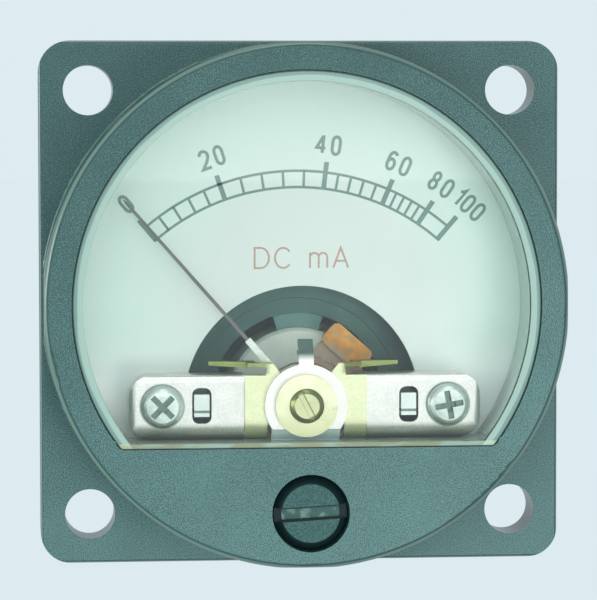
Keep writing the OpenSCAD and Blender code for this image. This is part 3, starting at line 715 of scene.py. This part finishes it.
@dataclass(frozen=True)
class YokeIron(PlatedSheet):
    """Soft iron with painted light inside, and two nickelled tabs in front of the dial with a painted shade line
    across each.
    """

    nickel: Colour = (0.80, 0.86, 0.82)
    # Painted shade: the dark line across each tab.
    groove: Colour = (0.16, 0.22, 0.20)
    # Painted light: the paler colour painted on the yoke's deep inside, where it lies in shade.
    inner: Colour = (0.34, 0.66, 0.60)
    inner_level: float = 0.6
    tab_level: float = 1.5
    groove_place: Span = (-9.2, -8.98)
    groove_soft: float = 0.03
    inner_blend: float = 1.0
    tab_blend: float = 0.3

    def marked(self, shade: Shade, colour: Wire) -> Wire:
        """Brightens the tabs, paints a shade line across each, and paints light on the yoke's inside.

        Args:
            shade: The material's tree.
            colour: The colour without marks.

        Returns:
            The marked colour.
        """
        level = shade.level()
        deep = 1.0 - level.rise(self.inner_level - self.inner_blend, self.inner_level)
        groove = shade.axis("Z").band(*self.groove_place, self.groove_soft)
        tab = level.rise(self.tab_level, self.tab_level + self.tab_blend)
        colour = shade.blend(deep, colour, self.inner)
        return shade.blend(tab, colour, shade.blend(groove, self.nickel, self.groove))


@dataclass(frozen=True)
class LeverTin(PlatedSheet):
    """Tinned sheet, with painted bluish light and less metallic where the lever bends down."""

    # Painted light: a pale bluish colour on the part that bends down into shade.
    painted_bend_light: Colour = (0.80, 0.97, 0.98)
    bend_level: float = 9.08
    bend_blend: float = 0.1
    bent_shine: float = 0.1
    tongue: Colour = (0.05, 0.115, 0.10)
    tongue_place: Span = (-4.8, -4.0)

    def _bent(self, shade: Shade) -> Wire:
        """1 below the bend and 0 above it."""
        return 1.0 - shade.level().rise(self.bend_level - self.bend_blend, self.bend_level)

    def marked(self, shade: Shade, colour: Wire) -> Wire:
        """Paints bluish light on the bent part and darkens the tongue's end."""
        end = shade.axis("Z").rise(*self.tongue_place)
        return shade.blend(end, shade.blend(self._bent(shade), colour, self.painted_bend_light), self.tongue)

    def shine(self, shade: Shade) -> Value:
        """Less metallic below the bend."""
        return self.metallic - self._bent(shade) * (self.metallic - self.bent_shine)


@dataclass(frozen=True)
class TurnedMetal(Finish):
    """Metal faced on a lathe, with fine rings about its axis and a screw's slot in its middle."""

    tone: Colour
    dull: Colour
    centre: Point
    pitch: float = 0.09 * MM
    roughness: float = 0.3
    # Painted shade: the dark ring over the screw's chamfer and along the slot's edges.
    groove: Colour = (0.24, 0.25, 0.08)
    groove_place: Span = (1.04, 1.47)
    # Painted shade on the lower part; the same colour also darkens the screw face.
    foot: Colour = (0.64, 0.62, 0.34)
    foot_place: Span = (-11.2, -8.2)
    face_radius: float = 1.0
    slot_turn: float = 27.0
    slot_edge: Span = (0.19, 0.26)
    slot_soft: float = 0.02
    slot_cover: float = 0.6
    groove_soft: float = 0.04
    groove_cover: float = 0.92
    foot_cover: float = 0.8
    stain: float = 1.1 * MM
    stain_share: float = 0.8
    ring_share: float = 0.2
    tone_edge: Span = (0.25, 0.75)
    stain_roughness: float = 0.2
    ring_depth: float = 0.003 * MM

    def surface(self, shade: Shade) -> Wire:
        """Rings and stains, with painted shade on the chamfer ring, the slot's edges and the lower part, and a
        darker screw face.

        Args:
            shade: The material's tree.

        Returns:
            The shader.
        """
        radius = shade.radius(self.centre)
        rings = (radius * (2 * math.pi / self.pitch)).wave()
        stain = shade.noise(self.stain, 3.0)
        share = (stain * self.stain_share + rings * self.ring_share).step(*self.tone_edge)
        colour = shade.blend(share, self.dull, self.tone)
        slot = shade.from_line(self.centre, self.slot_turn).band(*self.slot_edge, self.slot_soft)
        slot = slot * (1.0 - radius.rise(self.face_radius, self.face_radius + 1.5 * self.groove_soft))
        low = 1.0 - shade.axis("Z").rise(*self.foot_place)
        face = 1.0 - radius.rise(self.face_radius, self.face_radius + self.groove_soft)
        colour = shade.blend(low.larger(face) * self.foot_cover, colour, self.foot)
        groove = radius.band(*self.groove_place, self.groove_soft)
        cut = (groove * self.groove_cover).larger(slot * self.slot_cover)
        return shade.principled({
            "Base Color": shade.blend(cut, colour, self.groove),
            "Metallic": 1.0, "Roughness": self.roughness + (stain - 0.5) * self.stain_roughness,
            "Normal": shade.bump(rings, self.ring_depth)})


@dataclass(frozen=True)
class WoundWire(Finish):
    """Fine enamelled wire laid side by side, with old varnish over it."""

    tone: Colour
    # The gap colour is painted shade between the turns and also the colour of random darker blotches.
    gap: Colour
    varnish: Colour
    across: tuple[float, float, float]
    pitch: float = 0.11 * MM
    metallic: float = 0.25
    patch: float = 0.9 * MM
    patch_edge: Span = (0.48, 0.66)
    wander: float = 0.8 * MM
    wander_turns: float = 5.0
    crown_share: float = 0.3
    wander_share: float = 1.1
    tone_edge: Span = (0.25, 1.0)
    roughness: float = 0.32
    crown_height: float = 0.4
    depth: float = 0.04 * MM

    def surface(self, shade: Shade) -> Wire:
        """Turns that wander a little, with painted shade in the gaps between them and darker random blotches.

        Args:
            shade: The material's tree.

        Returns:
            The shader.
        """
        wander = shade.noise(self.wander)
        crown = (shade.along(self.across) * (2 * math.pi / self.pitch) + wander * self.wander_turns).wave()
        share = (crown * self.crown_share + wander * self.wander_share).step(*self.tone_edge)
        colour = shade.blend(share, self.gap, self.tone)
        colour = shade.blend(shade.noise(self.patch, 3.0).step(*self.patch_edge), colour, self.varnish)
        return shade.principled({
            "Base Color": self.marked(shade, colour), "Metallic": self.metallic, "Roughness": self.roughness,
            "Normal": shade.bump(crown * self.crown_height + wander, self.depth)})


@dataclass(frozen=True)
class CoilWire(WoundWire):
    """Coil wire that is bare and greyish next to the pivot."""

    hub: Point = HUB
    bare: Colour = (0.52, 0.44, 0.36)
    bare_reach: Span = (5.0, 5.9)
    bare_cover: float = 0.8
    bare_wander: float = 1.2 * MM

    def marked(self, shade: Shade, colour: Wire) -> Wire:
        """Greys the part next to the pivot.

        Args:
            shade: The material's tree.
            colour: The colour without marks.

        Returns:
            The marked colour.
        """
        flow = (shade.noise(self.bare_wander) - 0.5) * MM
        near = 1.0 - (shade.radius(self.hub) + flow).rise(*self.bare_reach)
        return shade.blend(near * self.bare_cover, colour, self.bare)


@dataclass(frozen=True)
class CutStone(Finish):
    """Polished synthetic ruby."""

    name: str = "ruby"
    tone: Colour = (0.55, 0.05, 0.12)
    light: Colour = (0.75, 0.12, 0.2)
    ior: float = 1.76
    spot: float = 0.3 * MM
    spot_edge: Span = (0.3, 0.7)
    polish: float = 0.08
    coat: float = 0.5

    def surface(self, shade: Shade) -> Wire:
        """A polished red, lighter in small spots.

        Args:
            shade: The material's tree.

        Returns:
            The shader.
        """
        colour = shade.blend(shade.noise(self.spot, 1.0).step(*self.spot_edge), self.tone, self.light)
        return shade.principled({
            "Base Color": colour, "Roughness": self.polish, "IOR": self.ior, "Coat Weight": self.coat})


# ---------------------------------------------------------------- mesh helpers


def face_point(x: float, y: float, rise: float) -> Vector:
    """A point given across the meter's face and out of it, in mm, as a point of the part's frame."""
    return Vector((x * MM, -rise * MM, y * MM))


def new_piece(name: str, mesh: bpy.types.Mesh, material: bpy.types.Material) -> bpy.types.Object:
    """Links a mesh into the scene as an object with one material.

    Args:
        name: Name of the piece.
        mesh: Its mesh.
        material: Its finish.

    Returns:
        The new piece.
    """
    mesh.materials.clear()
    mesh.materials.append(material)
    piece = bpy.data.objects.new(name, mesh)
    bpy.context.scene.collection.objects.link(piece)
    log.info("made %s", name)
    return piece


def mesh_from(name: str, build: Callable[[bmesh.types.BMesh], None], sharp: float = 35.0) -> bpy.types.Mesh:
    """Builds a mesh and marks its edges.

    Args:
        name: Name of the mesh.
        build: Fills the empty bmesh.
        sharp: Edges that bend by more degrees than this stay crisp.

    Returns:
        The mesh, shaded smooth between its crisp edges.
    """
    form = bmesh.new()
    build(form)
    bmesh.ops.recalc_face_normals(form, faces=form.faces)
    shade_by_angle(form, sharp)
    mesh = bpy.data.meshes.new(name)
    form.to_mesh(mesh)
    form.free()
    return mesh


def shade_by_angle(form: bmesh.types.BMesh, sharp: float) -> None:
    """Shades every face smooth between crisp edges.

    Args:
        form: The bmesh to mark.
        sharp: Edges that bend by more degrees than this stay crisp.
    """
    for face in form.faces:
        face.smooth = True
    limit = math.radians(sharp)
    for edge in form.edges:
        edge.smooth = edge.calc_face_angle(math.pi) < limit


def add_prism(form: bmesh.types.BMesh, outline: Sequence[Point], low: float, high: float) -> None:
    """Adds a flat shape that lies across the meter's face.

    Args:
        form: The bmesh to add to.
        outline: The shape's corners in mm across the face.
        low: Height of its underside in mm.
        high: Height of its top in mm.
    """
    bottom = [form.verts.new(face_point(x, y, low)) for x, y in outline]
    top = [form.verts.new(face_point(x, y, high)) for x, y in outline]
    form.faces.new(bottom[::-1])
    form.faces.new(top)
    count = len(outline)
    for i in range(count):
        j = (i + 1) % count
        form.faces.new((bottom[i], bottom[j], top[j], top[i]))


def add_band(form: bmesh.types.BMesh, path: Sequence[Point], width: float, low: float, high: float,
             closed: bool = False) -> None:
    """Adds a raised line of even width along a path.

    Args:
        form: The bmesh to add to.
        path: The line's middle, in mm across the face.
        width: Width of the line in mm.
        low: Height of its underside in mm.
        high: Height of its top in mm.
        closed: True joins the end to the start.
    """
    points = [Vector(p) for p in path]
    count = len(points)
    rims = []
    for i, point in enumerate(points):
        before = points[i - 1] if i or closed else point
        after = points[(i + 1) % count] if i < count - 1 or closed else point
        into = (point - before).normalized() if (point - before).length > 0 else (after - point).normalized()
        away = (after - point).normalized() if (after - point).length > 0 else into
        side = Vector((-into.y - away.y, into.x + away.x)).normalized()
        reach = width / 2 / max(0.35, side.dot(Vector((-into.y, into.x))))
        ring = [point + side * reach, point - side * reach]
        rims.append([form.verts.new(face_point(*p, h)) for p in ring for h in (low, high)])
    steps = count if closed else count - 1
    for i in range(steps):
        a, b = rims[i], rims[(i + 1) % count]
        for first, second in ((1, 3), (3, 2), (2, 0), (0, 1)):
            form.faces.new((a[first], a[second], b[second], b[first]))
    if not closed:
        form.faces.new((rims[0][0], rims[0][1], rims[0][3], rims[0][2]))
        form.faces.new((rims[-1][2], rims[-1][3], rims[-1][1], rims[-1][0]))


def arc(centre: Point, radii: Point, start: float, end: float, steps: int = 12) -> list[Point]:
    """Points along an upright ellipse, from start to end degrees, counted from +x to +y."""
    angles = [math.radians(start + (end - start) * i / steps) for i in range(steps + 1)]
    return [(centre[0] + radii[0] * math.cos(a), centre[1] + radii[1] * math.sin(a)) for a in angles]


def polar(centre: Point, radius: float, angle: float) -> Point:
    """The point at that radius and at angle degrees clockwise from straight up."""
    a = math.radians(angle)
    return centre[0] + radius * math.sin(a), centre[1] + radius * math.cos(a)


def dress(material: bpy.types.Material, *nodes: str) -> None:
    """Gives carried CAD nodes their finish.

    Args:
        material: The finish.
        *nodes: Names of the nodes.
    """
    for node in nodes:
        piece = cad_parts[node]
        piece.data.materials.clear()
        piece.data.materials.append(material)
        log.info("%s wears %s", node, material.name)


def shared(name: str) -> bpy.types.Material:
    """A finish that an earlier sub-assembly has made."""
    return bpy.data.materials[name]


# ---------------------------------------------------------------- case


@dataclass
class Case:
    """The moulded front, its window and the housing behind the panel."""

    # The front gets a painted highlight on its rounded edges and painted light towards its lower right.
    front: Finish = MouldedPlastic(
        "case_plastic", (0.020, 0.080, 0.080), (0.133, 0.280, 0.268), painted_highlight=0.55, painted_light_tilt=0.46)
    # The barrel's bore carries painted light.
    rear: Finish = BarrelPlastic("barrel_plastic", (0.012, 0.022, 0.022), (0.03, 0.05, 0.05), roughness=0.5)
    window: Finish = ClearPlastic()

    def build(self) -> None:
        """Dresses the case's pieces."""
        dress(self.front.material(), "front_bezel")
        dress(self.rear.material(), "rear_housing")
        dress(self.window.material(), "window")


# ---------------------------------------------------------------- dial


@dataclass
class Stroke:
    """One printed line of even width, in mm across the face."""

    path: Sequence[Point]
    width: float
    closed: bool = False


class Glyph(Enum):
    """The printed characters, as pen strokes in a box one unit high."""

    ZERO = "0"
    ONE = "1"
    TWO = "2"
    FOUR = "4"
    SIX = "6"
    EIGHT = "8"
    D = "D"
    C = "C"
    M = "m"
    A = "A"

    def strokes(self) -> list[tuple[list[Point], bool]]:
        """The character's pen strokes.

        Returns:
            Paths in units of the character's height, each with whether it closes.
        """
        oval = arc((0.183, 0.7), (0.183, 0.3), 0, 180, 12) + arc((0.183, 0.3), (0.183, 0.3), 180, 360, 12)
        return {
            Glyph.ZERO: [(oval[:-1], True)],
            Glyph.ONE: [([(0.0, 0.76), (0.12, 0.82), (0.2, 1.0), (0.2, 0.0)], False)],
            Glyph.TWO: [(arc((0.21, 0.72), (0.205, 0.28), 170, -25, 12)
                         + [(0.29, 0.38), (0.0, 0.0), (0.428, 0.0)], False)],
            Glyph.FOUR: [([(0.445, 0.28), (0.02, 0.28), (0.3, 0.97)], False),
                         ([(0.31, 1.0), (0.31, 0.0)], False)],
            Glyph.SIX: [(arc((0.175, 0.3), (0.175, 0.3), 0, 345, 23), True),
                        (arc((0.18, 0.68), (0.18, 0.32), 35, 180, 10) + [(0.0, 0.34)], False)],
            Glyph.EIGHT: [(arc((0.17, 0.755), (0.145, 0.245), 0, 345, 23), True),
                          (arc((0.17, 0.265), (0.17, 0.265), 0, 345, 23), True)],
            Glyph.D: [([(0.0, 0.0), (0.0, 1.0), (0.27, 1.0)] + arc((0.27, 0.5), (0.38, 0.5), 78, -78, 12)
                       + [(0.27, 0.0)], True)],
            Glyph.C: [(arc((0.37, 0.5), (0.37, 0.5), 38, 322, 20), False)],
            Glyph.M: [([(0.0, 0.0), (0.0, 0.76)], False),
                      (arc((0.195, 0.54), (0.195, 0.2), 165, 0, 8) + [(0.39, 0.0)], False),
                      (arc((0.585, 0.54), (0.195, 0.2), 165, 0, 8) + [(0.78, 0.0)], False)],
            Glyph.A: [([(0.0, 0.0), (0.34, 1.0), (0.68, 0.0)], False),
                      ([(0.12, 0.34), (0.56, 0.34)], False)],
        }[self]

    def width(self) -> float:
        """Distance between the character's outermost pen lines, in units of its height."""
        return {Glyph.ZERO: 0.366, Glyph.ONE: 0.2, Glyph.TWO: 0.428, Glyph.FOUR: 0.445, Glyph.SIX: 0.35,
                Glyph.EIGHT: 0.34, Glyph.D: 0.65, Glyph.C: 0.66, Glyph.M: 0.78, Glyph.A: 0.68}[self]


@dataclass(frozen=True)
class Lettering:
    """How a line of characters is drawn: height, pen and the gap between characters, in mm."""

    height: float
    pen: float
    gap: float
    space: float = 1.25

    def length(self, text: str) -> float:
        """Length of a line in mm."""
        return sum(self.advance(character) for character in text) - self.gap

    def advance(self, character: str) -> float:
        """How far one character, with the gap after it, moves the next one on."""
        return self.space if character == " " else Glyph(character).width() * self.height + self.pen + self.gap

    def paths(self, text: str) -> list[tuple[list[Point], bool]]:
        """Lays out a line of characters.

        Args:
            text: The characters, and spaces.

        Returns:
            Pen paths in mm, centred on x = 0 and standing on y = 0, each with whether it closes.
        """
        laid = []
        start = (self.pen - self.length(text)) / 2
        rise = self.height - self.pen
        for character in text:
            for path, closed in Glyph(character).strokes() if character != " " else ():
                laid.append(([(start + x * self.height, self.pen / 2 + y * rise) for x, y in path], closed))
            start += self.advance(character)
        return laid


@dataclass(frozen=True)
class Mark:
    """One long mark of the scale and its number; angles in degrees clockwise from straight up."""

    text: str
    angle: float
    end: float
    number_angle: float
    foot: float
    gap: float = 0.32


@dataclass
class Dial:
    """The white dial plate with its printed scale."""

    face_rise: float = 5.0
    ink_rise: float = 0.014
    ink_root: float = 0.004
    ink_step: float = 0.0002
    centre: Point = (-0.4, -8.735)
    inner: float = 18.65
    outer: float = 20.05
    line: float = 0.22
    mark_line: float = 0.42
    foot_drop: float = 0.11
    numbers: Lettering = Lettering(1.78, 0.265, 0.32)
    unit: Lettering = Lettering(1.9, 0.165, 0.36)
    unit_place: Point = (-0.02, 2.88)
    marks: tuple[Mark, ...] = (
        Mark("0", -40.6, 20.9, -40.4, 21.75),
        Mark("20", -19.4, 20.85, -19.1, 21.53),
        Mark("40", 7.05, 20.95, 6.95, 21.55),
        Mark("60", 23.25, 20.97, 23.1, 21.55, 0.36),
        Mark("80", 34.1, 21.0, 33.6, 21.7, 0.38),
        Mark("100", 40.75, 21.2, 41.2, 21.8, 0.2),
    )
    divisions: int = 5
    arc_steps: int = 60
    enamel: Enamel = DialEnamel("dial_enamel", (0.79, 0.83, 0.80), (0.76, 0.805, 0.775))
    ink: PrintInk = PrintInk("dial_ink", (0.15, 0.265, 0.235), (0.195, 0.325, 0.29))
    red: PrintInk = PrintInk("dial_red_ink", (0.50, 0.315, 0.245), (0.62, 0.40, 0.33))

    def build(self) -> None:
        """Dresses the plate and lays the print on it."""
        dress(self.enamel.material(), "dial_plate")
        ink, red = self.ink.material(), self.red.material()
        self._lay("scale_arcs", self._arcs(), ink)
        self._lay("scale_marks", self._long_marks(), ink)
        self._lay("scale_divisions", self._divisions(), ink)
        for mark in self.marks:
            self._lay(f"number_{mark.text}", self._number(mark), ink)
        shift = Vector(self.unit_place)
        unit = [Stroke([shift + Vector(p) for p in path], self.unit.pen, closed)
                for path, closed in self.unit.paths("DC mA")]
        self._lay("unit_letters", unit, red)

    def _lay(self, name: str, strokes: Sequence[Stroke], ink: bpy.types.Material) -> None:
        """Prints one group of lines and fixes it to the case.

        Args:
            name: Name of the printed piece.
            strokes: Its lines; each lies a hair lower than the one before, so crossings stay clean.
            ink: The ink's material.
        """
        def build(form: bmesh.types.BMesh) -> None:
            """Adds the lines.

            Args:
                form: The bmesh to add to.
            """
            for number, stroke in enumerate(strokes):
                top = self.face_rise + self.ink_rise - self.ink_step * number
                add_band(form, stroke.path, stroke.width, self.face_rise - self.ink_root, top, stroke.closed)

        piece = new_piece(name, mesh_from(name, build), ink)
        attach(piece, "case")

    def _arcs(self) -> list[Stroke]:
        """The two long arcs of the scale.

        Returns:
            The inner and the outer arc.
        """
        start, end = self.marks[0].angle, self.marks[-1].angle
        turns = [start + (end - start) * i / self.arc_steps for i in range(self.arc_steps + 1)]
        return [Stroke([polar(self.centre, radius, turn) for turn in turns], self.line)
                for radius in (self.inner, self.outer)]

    def _radial(self, angle: float, low: float, high: float, width: float) -> Stroke:
        """A line of that width at that angle, between two radii."""
        return Stroke([polar(self.centre, low, angle), polar(self.centre, high, angle)], width)

    def _long_marks(self) -> list[Stroke]:
        """The long marks under the numbers."""
        low = self.inner - self.foot_drop
        return [self._radial(mark.angle, low, mark.end, self.mark_line) for mark in self.marks]

    def _divisions(self) -> list[Stroke]:
        """The fine divisions between the marks; the last part of the scale has none.

        Returns:
            One stroke for each division.
        """
        angles = [mark.angle for mark in self.marks[:-1]]
        turns = [start + (end - start) * i / self.divisions
                 for start, end in zip(angles, angles[1:]) for i in range(1, self.divisions)]
        return [self._radial(turn, self.inner, self.outer, self.line) for turn in turns]

    def _number(self, mark: Mark) -> list[Stroke]:
        """The strokes of the number that stands over a mark.

        Args:
            mark: The mark.

        Returns:
            The strokes, leaning with the mark.
        """
        turn = Matrix.Rotation(math.radians(-mark.number_angle), 2)
        foot = Vector(polar(self.centre, mark.foot, mark.number_angle))
        lettering = replace(self.numbers, gap=mark.gap)
        return [Stroke([foot + turn @ Vector(p) for p in path], lettering.pen, closed)
                for path, closed in lettering.paths(mark.text)]


# ---------------------------------------------------------------- movement


@dataclass
class Bridge:
    """The steel bridge across the movement, its brass saddle, posts and screws."""

    steel: PlatedSheet = BridgeSteel("nickel_steel", (0.96, 0.88, 0.84), (0.76, 0.73, 0.69), 0.34)
    screw: PlatedSheet = ScrewSteel("screw_steel", (0.80, 0.85, 0.80), (0.60, 0.67, 0.62), 0.3)
    brass: PlatedSheet = SaddleBrass("brass_sheet", (0.86, 0.85, 0.60), (0.76, 0.74, 0.47), 0.38, lines=0.6)

    def build(self) -> None:
        """Dresses the bridge's pieces."""
        dress(self.steel.material(), "front_bridge", "bridge_post_left", "bridge_post_right")
        dress(self.brass.material(), "bridge_saddle")
        dress(self.screw.material(), "bridge_screw_left", "bridge_screw_right")


@dataclass
class FrontPivot:
    """The jewel screw with its lock nut, and the zero lever that they hold."""

    hub: Point = HUB

    def build(self) -> None:
        """Dresses the pivot's pieces."""
        turned = TurnedMetal("brass_turned", (0.96, 0.93, 0.67), (0.82, 0.77, 0.49), self.hub)
        tin = LeverTin("tin_plate", (0.98, 0.91, 0.89), (0.88, 0.83, 0.81), 0.45, metallic=0.75)
        dress(turned.material(), "jewel_nut", "front_jewel_screw")
        dress(tin.material(), "zero_lever")
        dress(CutStone().material(), "front_jewel")


@dataclass
class Adjuster:
    """The slotted zero adjuster in the apron."""

    finish: MouldedPlastic = AdjusterPlastic(
        "adjuster_plastic", (0.038, 0.105, 0.10), (0.075, 0.18, 0.17), roughness=0.25, depth=0.004 * MM,
        specular=0.25)

    def build(self) -> None:
        """Dresses the adjuster and its clip."""
        dress(self.finish.material(), "zero_adjuster")
        dress(shared("nickel_steel"), "adjuster_clip")


@dataclass
class MovingCoil:
    """The pointer, its boss, the coil and its pivots."""

    coil_turn: float = 48.3

    def build(self) -> None:
        """Dresses the moving pieces."""
        paint = Enamel("pointer_paint", (0.12, 0.125, 0.12), (0.18, 0.17, 0.165), 0.4)
        alloy = PlatedSheet("light_alloy", (0.85, 0.86, 0.80), (0.66, 0.67, 0.60), 0.3)
        slant = math.radians(self.coil_turn)
        wire = CoilWire("copper_wire", (0.92, 0.40, 0.05), (0.40, 0.16, 0.05), (0.52, 0.31, 0.12),
                        (math.cos(slant), 0.0, -math.sin(slant)))
        spring = PlatedSheet("spring_bronze", (0.30, 0.21, 0.13), (0.16, 0.11, 0.07), 0.35)
        steel = PlatedSheet("pivot_steel", (0.62, 0.63, 0.62), (0.5, 0.5, 0.5), 0.2)
        dress(paint.material(), "pointer")
        dress(alloy.material(), "pointer_boss", "coil_former")
        dress(wire.material(), "coil_winding")
        dress(shared("brass_turned"), "balance_weights")
        dress(spring.material(), "front_hairspring", "rear_hairspring")
        dress(steel.material(), "front_pivot", "rear_pivot")


@dataclass
class Movement:
    """Yoke, core and frame behind the dial, with the rear jewel."""

    hub: Point = HUB
    shade_radii: Span = (8.78, 10.6)
    shade_levels: Span = (0.8, 1.1)
    shade_angle: float = 8.0
    shade_steps: int = 48

    def build(self) -> None:
        """Dresses the fixed pieces of the movement."""
        iron = YokeIron("soft_iron", (0.085, 0.20, 0.18), (0.06, 0.155, 0.14), 0.5, metallic=0.3)
        # The magnet's pale metal is lifted to near white as painted light, for the shade it lies in behind the
        # dial.
        magnet = PlatedSheet("magnet_alloy", (1.0, 1.0, 0.92), (0.80, 0.92, 0.79), 0.4, metallic=0.1)
        plastic = MouldedPlastic("frame_plastic", (0.13, 0.30, 0.27), (0.17, 0.36, 0.33), roughness=0.5)
        dark = iron.material()
        dress(dark, "yoke_ring")
        self._shade_ring(dark)
        dress(magnet.material(), "core_magnet")
        dress(plastic.material(), "movement_frame")
        dress(shared("brass_turned"), "rear_jewel_screw", "rear_lock_nut")
        dress(shared("ruby"), "rear_jewel")

    def _shade_ring(self, material: bpy.types.Material) -> None:
        """Adds the dark ring that closes the gap between the yoke and the dial's cut-out.

        Args:
            material: Finish of the ring, the same as the yoke's.
        """
        inner, outer = self.shade_radii
        start, end = self.shade_angle, 180.0 - self.shade_angle
        outline = arc(self.hub, (outer, outer), start, end, self.shade_steps)
        outline += arc(self.hub, (inner, inner), end, start, self.shade_steps)

        def build(form: bmesh.types.BMesh) -> None:
            """The flat ring.

            Args:
                form: The bmesh to add to.
            """
            add_prism(form, outline, *self.shade_levels)

        ring = new_piece("yoke_shade_ring", mesh_from("yoke_shade_ring", build), material)
        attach(ring, "case")


@dataclass
class Terminals:
    """The studs behind the housing, with lugs, washers and nuts, and the shunt inside."""

    def build(self) -> None:
        """Dresses the terminals and the shunt."""
        board = Enamel("bobbin_board", (0.42, 0.33, 0.20), (0.36, 0.27, 0.16), 0.6)
        wire = WoundWire("manganin_wire", (0.36, 0.19, 0.08), (0.12, 0.06, 0.03), (0.28, 0.15, 0.08),
                         (0.0, 1.0, 0.0), 0.22 * MM)
        for sign in ("plus", "minus"):
            dress(shared("brass_sheet"), f"terminal_stud_{sign}", f"terminal_nut_{sign}")
            dress(shared("tin_plate"), f"terminal_washer_{sign}", f"terminal_lug_{sign}")
        dress(board.material(), "shunt_bobbin")
        dress(wire.material(), "shunt_winding")


# ---------------------------------------------------------------- studio


@dataclass
class Lamp:
    """A far lamp with a soft edge: a broad one stands for a softbox, a narrow one for a window."""

    name: str
    power: float
    spread: float
    across: float
    up: float
    colour: Colour = (1.0, 1.0, 1.0)

    def build(self) -> None:
        """Hangs the lamp in front of the face, turned to the side and up by its two angles."""
        data = bpy.data.lights.new(self.name, "SUN")
        data.energy = self.power
        data.angle = math.radians(self.spread)
        data.color = self.colour
        lamp = bpy.data.objects.new(self.name, data)
        lamp.rotation_euler = (math.radians(90.0 - self.up), 0.0, math.radians(self.across))
        bpy.context.scene.collection.objects.link(lamp)


@dataclass
class Studio:
    """Camera, lamps, floor and the pale surroundings."""

    camera_place: tuple[float, float, float] = (-0.025387, -0.277, 0.015503)
    camera_turn: tuple[float, float, float] = (86.7893, 0.0959, -5.2842)
    lens: float = 190.476
    sensor: float = 36.0
    nearest: float = 0.01
    pale: Colour = (0.73, 0.84, 0.88)
    world_light: float = 0.52
    world_colour: Colour = (0.97, 1.0, 0.99)
    floor_drop: float = 0.045
    floor_size: float = 6.0
    floor_glow: float = 0.96
    lamps: tuple[Lamp, ...] = (
        Lamp("softbox", 0.50, 50.0, 2.0, 22.0),
        Lamp("window_light", 0.60, 22.0, 24.0, -20.0, (1.0, 0.99, 0.96)),
        Lamp("side_light", 1.6, 28.0, -78.0, 4.0),
        Lamp("top_light", 0.45, 24.0, 8.0, 72.0),
    )

    def build(self) -> None:
        """Sets up everything round the object."""
        self._camera()
        self._world()
        for lamp in self.lamps:
            lamp.build()
        self._floor()
        bpy.context.scene.view_settings.view_transform = "Standard"

    def _camera(self) -> None:
        """The camera, looking at the meter's face from a little above and to the left."""
        data = bpy.data.cameras.new("camera")
        data.lens = self.lens
        data.sensor_width = self.sensor
        data.clip_start = self.nearest
        camera = bpy.data.objects.new("camera", data)
        camera.location = self.camera_place
        camera.rotation_euler = [math.radians(a) for a in self.camera_turn]
        bpy.context.scene.collection.objects.link(camera)
        bpy.context.scene.camera = camera

    def _world(self) -> None:
        """Even light, with the pale backdrop where the surroundings are seen."""
        world = bpy.data.worlds.new("studio")
        bpy.context.scene.world = world
        shade = Shade.of_world(world)
        inputs = {"Color": self.world_colour, "Strength": self.world_light}
        light = shade.node("ShaderNodeBackground", None, inputs)
        backdrop = shade.node("ShaderNodeBackground", None, {"Color": self.pale})
        shade.finish(shade.mix(shade.seen(), light, backdrop))

    def _floor(self) -> None:
        """A plain pale floor that keeps the object's shadow."""
        half = self.floor_size / 2
        corners = [(-half, -half), (half, -half), (half, half), (-half, half)]

        def build(form: bmesh.types.BMesh) -> None:
            """One large sheet.

            Args:
                form: The bmesh to add to.
            """
            form.faces.new([form.verts.new((x, y, -self.floor_drop)) for x, y in corners])

        shade = Shade.of_material("floor_paper")
        lit = shade.node("ShaderNodeBsdfDiffuse", None, {"Color": self.pale})
        plain = shade.node("ShaderNodeEmission", None, {"Color": self.pale})
        paper = shade.finish(shade.mix(shade.seen() * self.floor_glow, lit, plain))
        floor = new_piece("floor", mesh_from("floor", build), paper)
        floor.visible_shadow = False


def main() -> None:
    """Builds the meter's looks in order."""
    logging.basicConfig(level=logging.INFO, format="%(message)s")
    Studio().build()
    Case().build()
    Dial().build()
    Bridge().build()
    FrontPivot().build()
    Adjuster().build()
    MovingCoil().build()
    Movement().build()
    Terminals().build()


if __name__ == "__main__":
    main()
